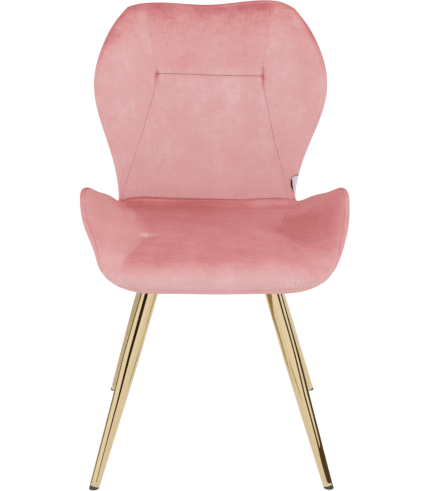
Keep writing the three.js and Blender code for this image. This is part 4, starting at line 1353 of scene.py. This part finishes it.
def boolean_free_plate(name, outline, holes, hole_r, z0, z1, bevel):
    """A flat plate with round holes and broken edges, closed by filling between the outline and the holes."""
    import bmesh

    bm = bmesh.new()
    loops = []
    centre = outline.mean(axis=0)
    shrunk = outline + (centre - outline) / np.maximum(length(outline - centre), 1e-6)[:, None] * bevel
    ring_sets = [(shrunk, z0), (outline, z0 + bevel), (outline, z1 - bevel), (shrunk, z1)]
    rings = [[bm.verts.new((x * MM, y * MM, z * MM)) for x, y in pts] for pts, z in ring_sets]
    for a, b in zip(rings[:-1], rings[1:]):
        k = len(a)
        for i in range(k):
            bm.faces.new((a[i], a[(i + 1) % k], b[(i + 1) % k], b[i]))
    caps = {0: [rings[0]], 1: [rings[-1]]}
    for hx, hy in holes:
        ang = [2 * math.pi * i / 32 for i in range(32)]
        hs = []
        for r, z in ((hole_r + bevel, z0), (hole_r, z0 + bevel), (hole_r, z1 - bevel), (hole_r + bevel, z1)):
            hs.append([bm.verts.new(((hx + r * math.cos(t)) * MM, (hy + r * math.sin(t)) * MM, z * MM)) for t in ang])
        for a, b in zip(hs[:-1], hs[1:]):
            for i in range(32):
                bm.faces.new((a[(i + 1) % 32], a[i], b[i], b[(i + 1) % 32]))
        caps[0].append(hs[0])
        caps[1].append(hs[-1])
    for side in (0, 1):
        edges = []
        for loop in caps[side]:
            for i in range(len(loop)):
                e = bm.edges.get((loop[i], loop[(i + 1) % len(loop)]))
                edges.append(e)
        bmesh.ops.triangle_fill(bm, edges=edges, use_beauty=True, use_dissolve=False)
    bmesh.ops.recalc_face_normals(bm, faces=bm.faces[:])
    mesh = bpy.data.meshes.new(name)
    bm.to_mesh(mesh)
    bm.free()
    obj = bpy.data.objects.new(name, mesh)
    bpy.context.scene.collection.objects.link(obj)
    return obj


def build_bolt(name, x, y):
    """Low button-head bolt with a hexagon socket, and a washer under its head."""
    sides = 48
    a = np.linspace(0, 2 * math.pi, sides, endpoint=False)
    ring = np.stack([np.cos(a), np.sin(a), 0 * a], axis=1)
    # radius of a hexagon with rounded corners at each angle
    hexa = 2.35 / np.cos((a + math.pi / 6) % (math.pi / 3) - math.pi / 6)
    z0 = PLATE_Z0 - 0.3
    levels = []
    for r, z in ((0.01, z0 - 1.2), (None, z0 - 1.25), (None, z0 - 3.05), ("edge", z0 - 3.25), (3.6, z0 - 3.38), (4.6, z0 - 3.1), (5.3, z0 - 2.4), (5.75, z0 - 1.6), (5.9, z0 - 0.9), (5.75, z0 - 0.75), (7.4, z0 - 0.72), (7.6, z0 - 0.6), (7.6, z0 - 0.15), (7.4, z0 - 0.03), (3.0, z0), (3.0, 393.3), (2.2, 394.5), (0.01, 394.5)):
        if r is None:
            rr = hexa
        elif r == "edge":
            rr = hexa + 0.22
        else:
            rr = np.full(sides, float(r))
        levels.append(ring * rr[:, None] + np.array([x, y, z]))
    levels = np.stack(levels)
    kk = len(levels)
    ids = np.arange(kk * sides).reshape(kk, sides)
    faces = []
    for i in range(kk - 1):
        aa, bb = ids[i], ids[i + 1]
        faces += np.stack([aa, np.roll(aa, -1), np.roll(bb, -1), bb], axis=1).tolist()
    faces.append([int(i) for i in ids[0][::-1]])
    faces.append([int(i) for i in ids[-1]])
    obj = new_mesh(name, levels.reshape(-1, 3), faces, smooth_shade=False)
    return obj


for leg_name, (leg_foot, leg_top) in LEGS.items():
    build_leg(leg_name, leg_foot, leg_top)
    lx, ly = PLATES[leg_name]
    sx, sy = math.copysign(1, lx), math.copysign(1, ly)
    spots = [(lx - sx * BOLT_AT, ly - sy * BOLT_AT), (lx + sx * BOLT_AT, ly - sy * BOLT_AT), (lx - sx * BOLT_AT, ly + sy * BOLT_AT)]
    outline = rounded_outline(lx - PLATE_HALF, lx + PLATE_HALF, ly - Y_CENTRE - PLATE_HALF, ly - Y_CENTRE + PLATE_HALF, PLATE_CORNER)
    plate_obj = boolean_free_plate("plate_" + leg_name, outline, [(px, py - Y_CENTRE) for px, py in spots], 3.5, PLATE_Z0, PLATE_Z1, 0.35)
    finish_piece(plate_obj, PLATE, ("leg_plate_" + leg_name,))
    for i, (px, py) in enumerate(spots):
        b = build_bolt(f"screw_{leg_name}_{i + 1}", px, py - Y_CENTRE)
        finish_piece(b, ZINC, (f"bolt_{leg_name}_{i + 1}",))
        NODES[f"t_nut_{leg_name}_{i + 1}"].data.materials.clear()
        NODES[f"t_nut_{leg_name}_{i + 1}"].data.materials.append(ZINC)

NODES["seat_board"].data.materials.clear()
NODES["seat_board"].data.materials.append(PLY)


# ------------------------------------------------------------------ dust cover
def build_dust():
    x0, x1, y0, y1 = -160.0, 156.0, -183.0 - Y_CENTRE, 149.0 - Y_CENTRE
    nx, ny = 96, 100
    xs, ys = np.linspace(-1, 1, nx + 1), np.linspace(-1, 1, ny + 1)
    gx, gy = np.meshgrid(xs, ys)
    # square to a rounded rectangle: pull the corners in
    r = 26.0
    hx, hy = (x1 - x0) / 2, (y1 - y0) / 2
    px, py = gx * hx, gy * hy
    ox, oy = np.abs(px) - (hx - r), np.abs(py) - (hy - r)
    corner = (ox > 0) & (oy > 0)
    reach = np.maximum(np.maximum(ox, oy), 1e-6)
    size = np.hypot(ox, oy)
    k = np.where(corner, reach / np.maximum(size, 1e-6), 1.0)
    px = np.where(corner, np.sign(px) * (hx - r + ox * k), px)
    py = np.where(corner, np.sign(py) * (hy - r + oy * k), py)
    px, py = px + (x0 + x1) / 2, py + (y0 + y1) / 2
    edge = 1 - np.maximum(np.abs(gx), np.abs(gy))
    pts = np.stack([px, py, 0 * px], axis=-1)
    wrinkle = 0.25 * ripple(pts) * smooth(0, 0.1, edge) + 0.5 * np.abs(swell(pts)) * smooth(0, 0.25, edge)
    staples = 0.35 * np.abs(np.sin((px + py) / 38.0 * math.pi)) * (1 - smooth(0, 0.06, edge))
    z = 382.9 + 1.3 * (1 - smooth(0.0, 0.045, edge)) - 0.5 * np.minimum(wrinkle, 0.8) - staples
    near_plates = np.zeros_like(z)
    for lt in PLATES.values():
        near_plates = np.maximum(near_plates, (1 - smooth(30, 44, np.abs(px - lt[0]))) * (1 - smooth(30, 44, np.abs(py - (lt[1] - Y_CENTRE)))))
    z = z * (1 - near_plates) + 382.75 * near_plates
    pts[..., 2] = z
    n, m = z.shape
    ids = grid_ids(n, m)
    faces = quads(ids, flip=True)
    verts, faces, _ = thicken(pts.reshape(-1, 3), faces, 0.45)
    obj = new_mesh("dust_sheet", verts, faces)
    finish_piece(obj, DUST, ("dust_cover",))


build_dust()


# ------------------------------------------------------------------ side tab
def build_tab():
    """A blank label sewn into the side seam of the back and folded onto the front of the wing."""
    rows, cols = 31, 21
    grid, edge = [], []
    for t in np.linspace(0, 1, rows):
        # width on the front side, from the lower end to the rounded upper end
        wide = 4.4 + 7.8 * smooth(0, 0.42, t) + 2.6 * smooth(0.35, 0.8, t)
        wide -= 5.0 * (1 - math.sqrt(max(0.0, 1 - max(0.0, (t - 0.86) / 0.14) ** 2)))
        # width of the dark edge strip, a stitched edge with painted shadow in it
        dark = 1.0 + 3.0 * smooth(0.05, 0.3, t) * (1 - smooth(0.7, 0.95, t))
        inset = 0.02 + (wide - 0.02) * (1 - np.linspace(0, 1, 160)) ** 2.2
        s = 8.465 + 0.685 * t - 0.09 * t * inset / 14.0
        u = np.array([float(rim_u(b, a)) for a, b in zip(inset, s)])
        row = skin(u, s, 1)
        run = np.concatenate([[0.0], np.cumsum(length(np.diff(row, axis=0)))])
        places = np.concatenate([dark * np.array([0, 0.35, 0.7]), np.linspace(dark, run[-1], cols - 3)])
        grid.append(np.stack([np.interp(places, run, row[:, k]) for k in range(3)], axis=1))
        edge.append(places)
    grid, edge = smooth_grid(np.array(grid), 2), np.array(edge)
    n = normals_of(grid)
    if n[rows // 2, 5, 1] > 0:
        n = -n
    # it stands off the cloth a little, most of all at its inner edge
    pts = grid + n * (0.75 + 1.1 * np.exp(-((edge / 2.2) ** 2)))[..., None]
    ids = grid_ids(*pts.shape[:2])
    flip = bool((np.cross(pts[1, 5] - pts[0, 5], pts[0, 6] - pts[0, 5]) @ n[0, 5]) > 0)
    verts, faces, _ = thicken(pts.reshape(-1, 3), quads(ids, flip=flip), 0.4)
    obj = new_mesh("tab_label", verts, faces)
    obj.data.materials.append(TAB)
    obj.data.materials.append(TAB_EDGE_AND_SHADOW)
    cells_across, cells_up = pts.shape[1] - 1, rows - 1
    for k in range(2 * cells_across * cells_up):
        i, j = divmod(k % (cells_across * cells_up), cells_across)
        # the first columns and the top row take the dark edge: stitched edge and painted shadow
        if j < 3 or i == cells_up - 1:
            obj.data.polygons[k].material_index = 1
    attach(obj, "root")
    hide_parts("side_tab")


build_tab()

# ------------------------------------------------------------------ stage: floor, light, surroundings
def plane(name, size, location, rotation=(0, 0, 0)):
    w, h = size
    mesh = bpy.data.meshes.new(name)
    mesh.from_pydata([(-w / 2, -h / 2, 0), (w / 2, -h / 2, 0), (w / 2, h / 2, 0), (-w / 2, h / 2, 0)], [], [(0, 1, 2, 3)])
    obj = bpy.data.objects.new(name, mesh)
    obj.location = location
    obj.rotation_euler = rotation
    bpy.context.scene.collection.objects.link(obj)
    return obj


floor_mat = bpy.data.materials.new("floor_white")
floor_mat.use_nodes = True
fb = floor_mat.node_tree.nodes["Principled BSDF"]
fb.inputs["Base Color"].default_value = (0.12, 0.12, 0.12, 1)
fb.inputs["Roughness"].default_value = 0.9
fb.inputs["Specular IOR Level"].default_value = 0.05
fb.inputs["Emission Color"].default_value = (1, 1, 1, 1)
fb.inputs["Emission Strength"].default_value = 0.94
floor = plane("floor", (80, 80), (0, 0, 0))
floor.data.materials.append(floor_mat)
floor.visible_diffuse = False  # the light from below comes from the lower half of the surroundings


def world():
    w = bpy.data.worlds.new("studio")
    bpy.context.scene.world = w
    w.use_nodes = True
    nt = w.node_tree
    bg = nt.nodes["Background"]
    tc = nt.nodes.new("ShaderNodeTexCoord")
    sep = nt.nodes.new("ShaderNodeSeparateXYZ")
    nt.links.new(tc.outputs["Generated"], sep.inputs[0])
    level = maths(nt, "ADD", maths(nt, "MULTIPLY", sep.outputs["Z"], 0.5), 0.5)
    sky = ramp(nt, level, ((0.0, (0.95,) * 3), (0.49, (0.95,) * 3), (0.51, (1.20,) * 3), (0.64, (1.20,) * 3), (0.68, (0.97,) * 3), (1.0, (0.95,) * 3)))
    nt.links.new(sky, bg.inputs["Color"])
    bg.inputs["Strength"].default_value = 1.0


world()


def far_light(name, azimuth, elevation, spread, strength):
    """A wide soft light from far away; azimuth 0 shines from the front, positive from the viewer's right."""
    data = bpy.data.lights.new(name, "SUN")
    data.energy = strength
    data.angle = math.radians(spread)
    obj = bpy.data.objects.new(name, data)
    a, e = math.radians(azimuth), math.radians(elevation)
    toward = Vector((math.sin(a) * math.cos(e), -math.cos(a) * math.cos(e), math.sin(e)))
    obj.location = toward * 5
    obj.rotation_mode = "QUATERNION"
    obj.rotation_quaternion = (-toward).to_track_quat("-Z", "Y")
    bpy.context.scene.collection.objects.link(obj)
    return obj


far_light("key", 20, 60, 40, 0.25)


def foot_point(foot, top, h):
    f, d, x, y, size = leg_frame(foot, top)
    return (f + d * h) * MM, d


def card(name, foot, top, samples, reach=0.05, shade=(0.05, 0.035, 0.015)):
    """A dark strip close to a leg, which shows only as a reflection in the polished metal.
    samples: (height along the leg in mm, from, to), the two places being shares of the leg's width seen from the front."""
    rows = []
    for h, a, b in samples:
        p, d = foot_point(foot, top, h)
        radius = np.interp(h, (0.0, KNEE), (R_FOOT, R_TOP)) * MM
        w = np.array(CAM_POS) - p
        w /= np.linalg.norm(w)
        e = w - d * (w @ d)
        e /= np.linalg.norm(e)
        side = np.cross(d, e)
        row = []
        for share in np.linspace(a, b, 5):
            sn = min(max(2 * share - 1, -0.999), 0.999)
            n = e * math.sqrt(1 - sn * sn) + side * sn
            r = 2 * (n @ w) * n - w
            start = p + n * radius
            far = reach if r[2] > -0.001 else min(reach, (start[2] - 0.001) / -r[2])
            row.append(start + r * max(far, 0.003))
        rows.append(row)
    verts = np.array(rows).reshape(-1, 3)
    mesh = bpy.data.meshes.new(name)
    mesh.from_pydata(verts.tolist(), [], quads(grid_ids(len(rows), 5)).tolist())
    obj = bpy.data.objects.new(name, mesh)
    bpy.context.scene.collection.objects.link(obj)
    m = bpy.data.materials.new(name)
    m.use_nodes = True
    b = m.node_tree.nodes["Principled BSDF"]
    b.inputs["Base Color"].default_value = (*shade, 1)
    b.inputs["Roughness"].default_value = 1.0
    b.inputs["Specular IOR Level"].default_value = 0.0
    obj.data.materials.append(m)
    obj.visible_camera = False
    obj.visible_diffuse = False
    obj.visible_shadow = False
    obj.visible_transmission = False


def along(y):
    """Height along a front leg, in mm, of a row of the picture."""
    return 405.0 * (487.0 - y) / 194.0


def stripe(rows):
    """Rows of (picture row, centre, width), filled in between."""
    y, c, w = (np.array(v, float) for v in zip(*rows))
    fine = np.linspace(y[0], y[-1], int(abs(y[-1] - y[0]) / 4) + 2)
    return [(along(q), np.interp(q, y, c) - np.interp(q, y, w) / 2, np.interp(q, y, c) + np.interp(q, y, w) / 2) for q in fine]


BROWN, OLIVE, TAN, AMBER = (0.11, 0.080, 0.038), (0.30, 0.27, 0.15), (0.46, 0.43, 0.33), (0.74, 0.59, 0.35)
FL, FR, RL, RR = (LEGS[k] for k in ("front_left", "front_right", "rear_left", "rear_right"))
card("card_left", *FL, stripe((
    (285, 0.33, 0.19), (296, 0.33, 0.19), (320, 0.345, 0.185), (340, 0.355, 0.17), (360, 0.36, 0.15), (380, 0.39, 0.14),
    (400, 0.425, 0.12), (420, 0.44, 0.10), (440, 0.46, 0.08), (460, 0.49, 0.07), (475, 0.53, 0.06), (484, 0.55, 0.05))))
card("card_left_edge", *FL, stripe(((285, 0.05, 0.09), (320, 0.035, 0.07), (360, 0.03, 0.06), (390, 0.045, 0.08))), shade=OLIVE)
card("card_left_edge_low", *FL, stripe(((390, 0.05, 0.08), (400, 0.06, 0.11), (487, 0.07, 0.14))), shade=TAN)
card("card_right", *FR, stripe((
    (285, 0.755, 0.12), (296, 0.755, 0.115), (320, 0.737, 0.095), (340, 0.75, 0.09), (360, 0.735, 0.09), (380, 0.70, 0.10),
    (400, 0.648, 0.105), (420, 0.648, 0.11), (440, 0.64, 0.13), (450, 0.625, 0.15), (458, 0.60, 0.19))), shade=BROWN)
card("card_right_edge", *FR, stripe((
    (285, 0.95, 0.06), (320, 0.945, 0.085), (340, 0.94, 0.10), (360, 0.935, 0.12), (380, 0.93, 0.13), (400, 0.91, 0.14),
    (420, 0.905, 0.14), (440, 0.89, 0.17), (450, 0.87, 0.22))), shade=BROWN)
card("card_right_low", *FR, stripe(((445, 0.87, 0.14), (450, 0.82, 0.26), (455, 0.76, 0.42), (460, 0.735, 0.48), (475, 0.73, 0.49), (494, 0.77, 0.46))), shade=(0.14, 0.10, 0.052), reach=0.045)
card("card_rear_left", *RL, [(h, -0.05, 0.45) for h in np.linspace(402.0, 14.0, 60)], shade=(0.97, 0.97, 0.97))
card("card_right_amber", *FR, stripe(((285, 0.24, 0.34), (300, 0.25, 0.30), (312, 0.17, 0.18), (320, 0.12, 0.13), (340, 0.16, 0.09), (360, 0.15, 0.09), (374, 0.14, 0.03))), shade=AMBER)
card("card_right_streak", *FR, stripe(((362, 0.285, 0.01), (372, 0.31, 0.05), (380, 0.335, 0.06), (392, 0.36, 0.05), (404, 0.385, 0.01))), shade=AMBER, reach=0.045)

scene = bpy.context.scene
scene.view_settings.view_transform = "Standard"
scene.view_settings.look = "None"
scene.view_settings.exposure = 0.0
scene.view_settings.gamma = 1.0
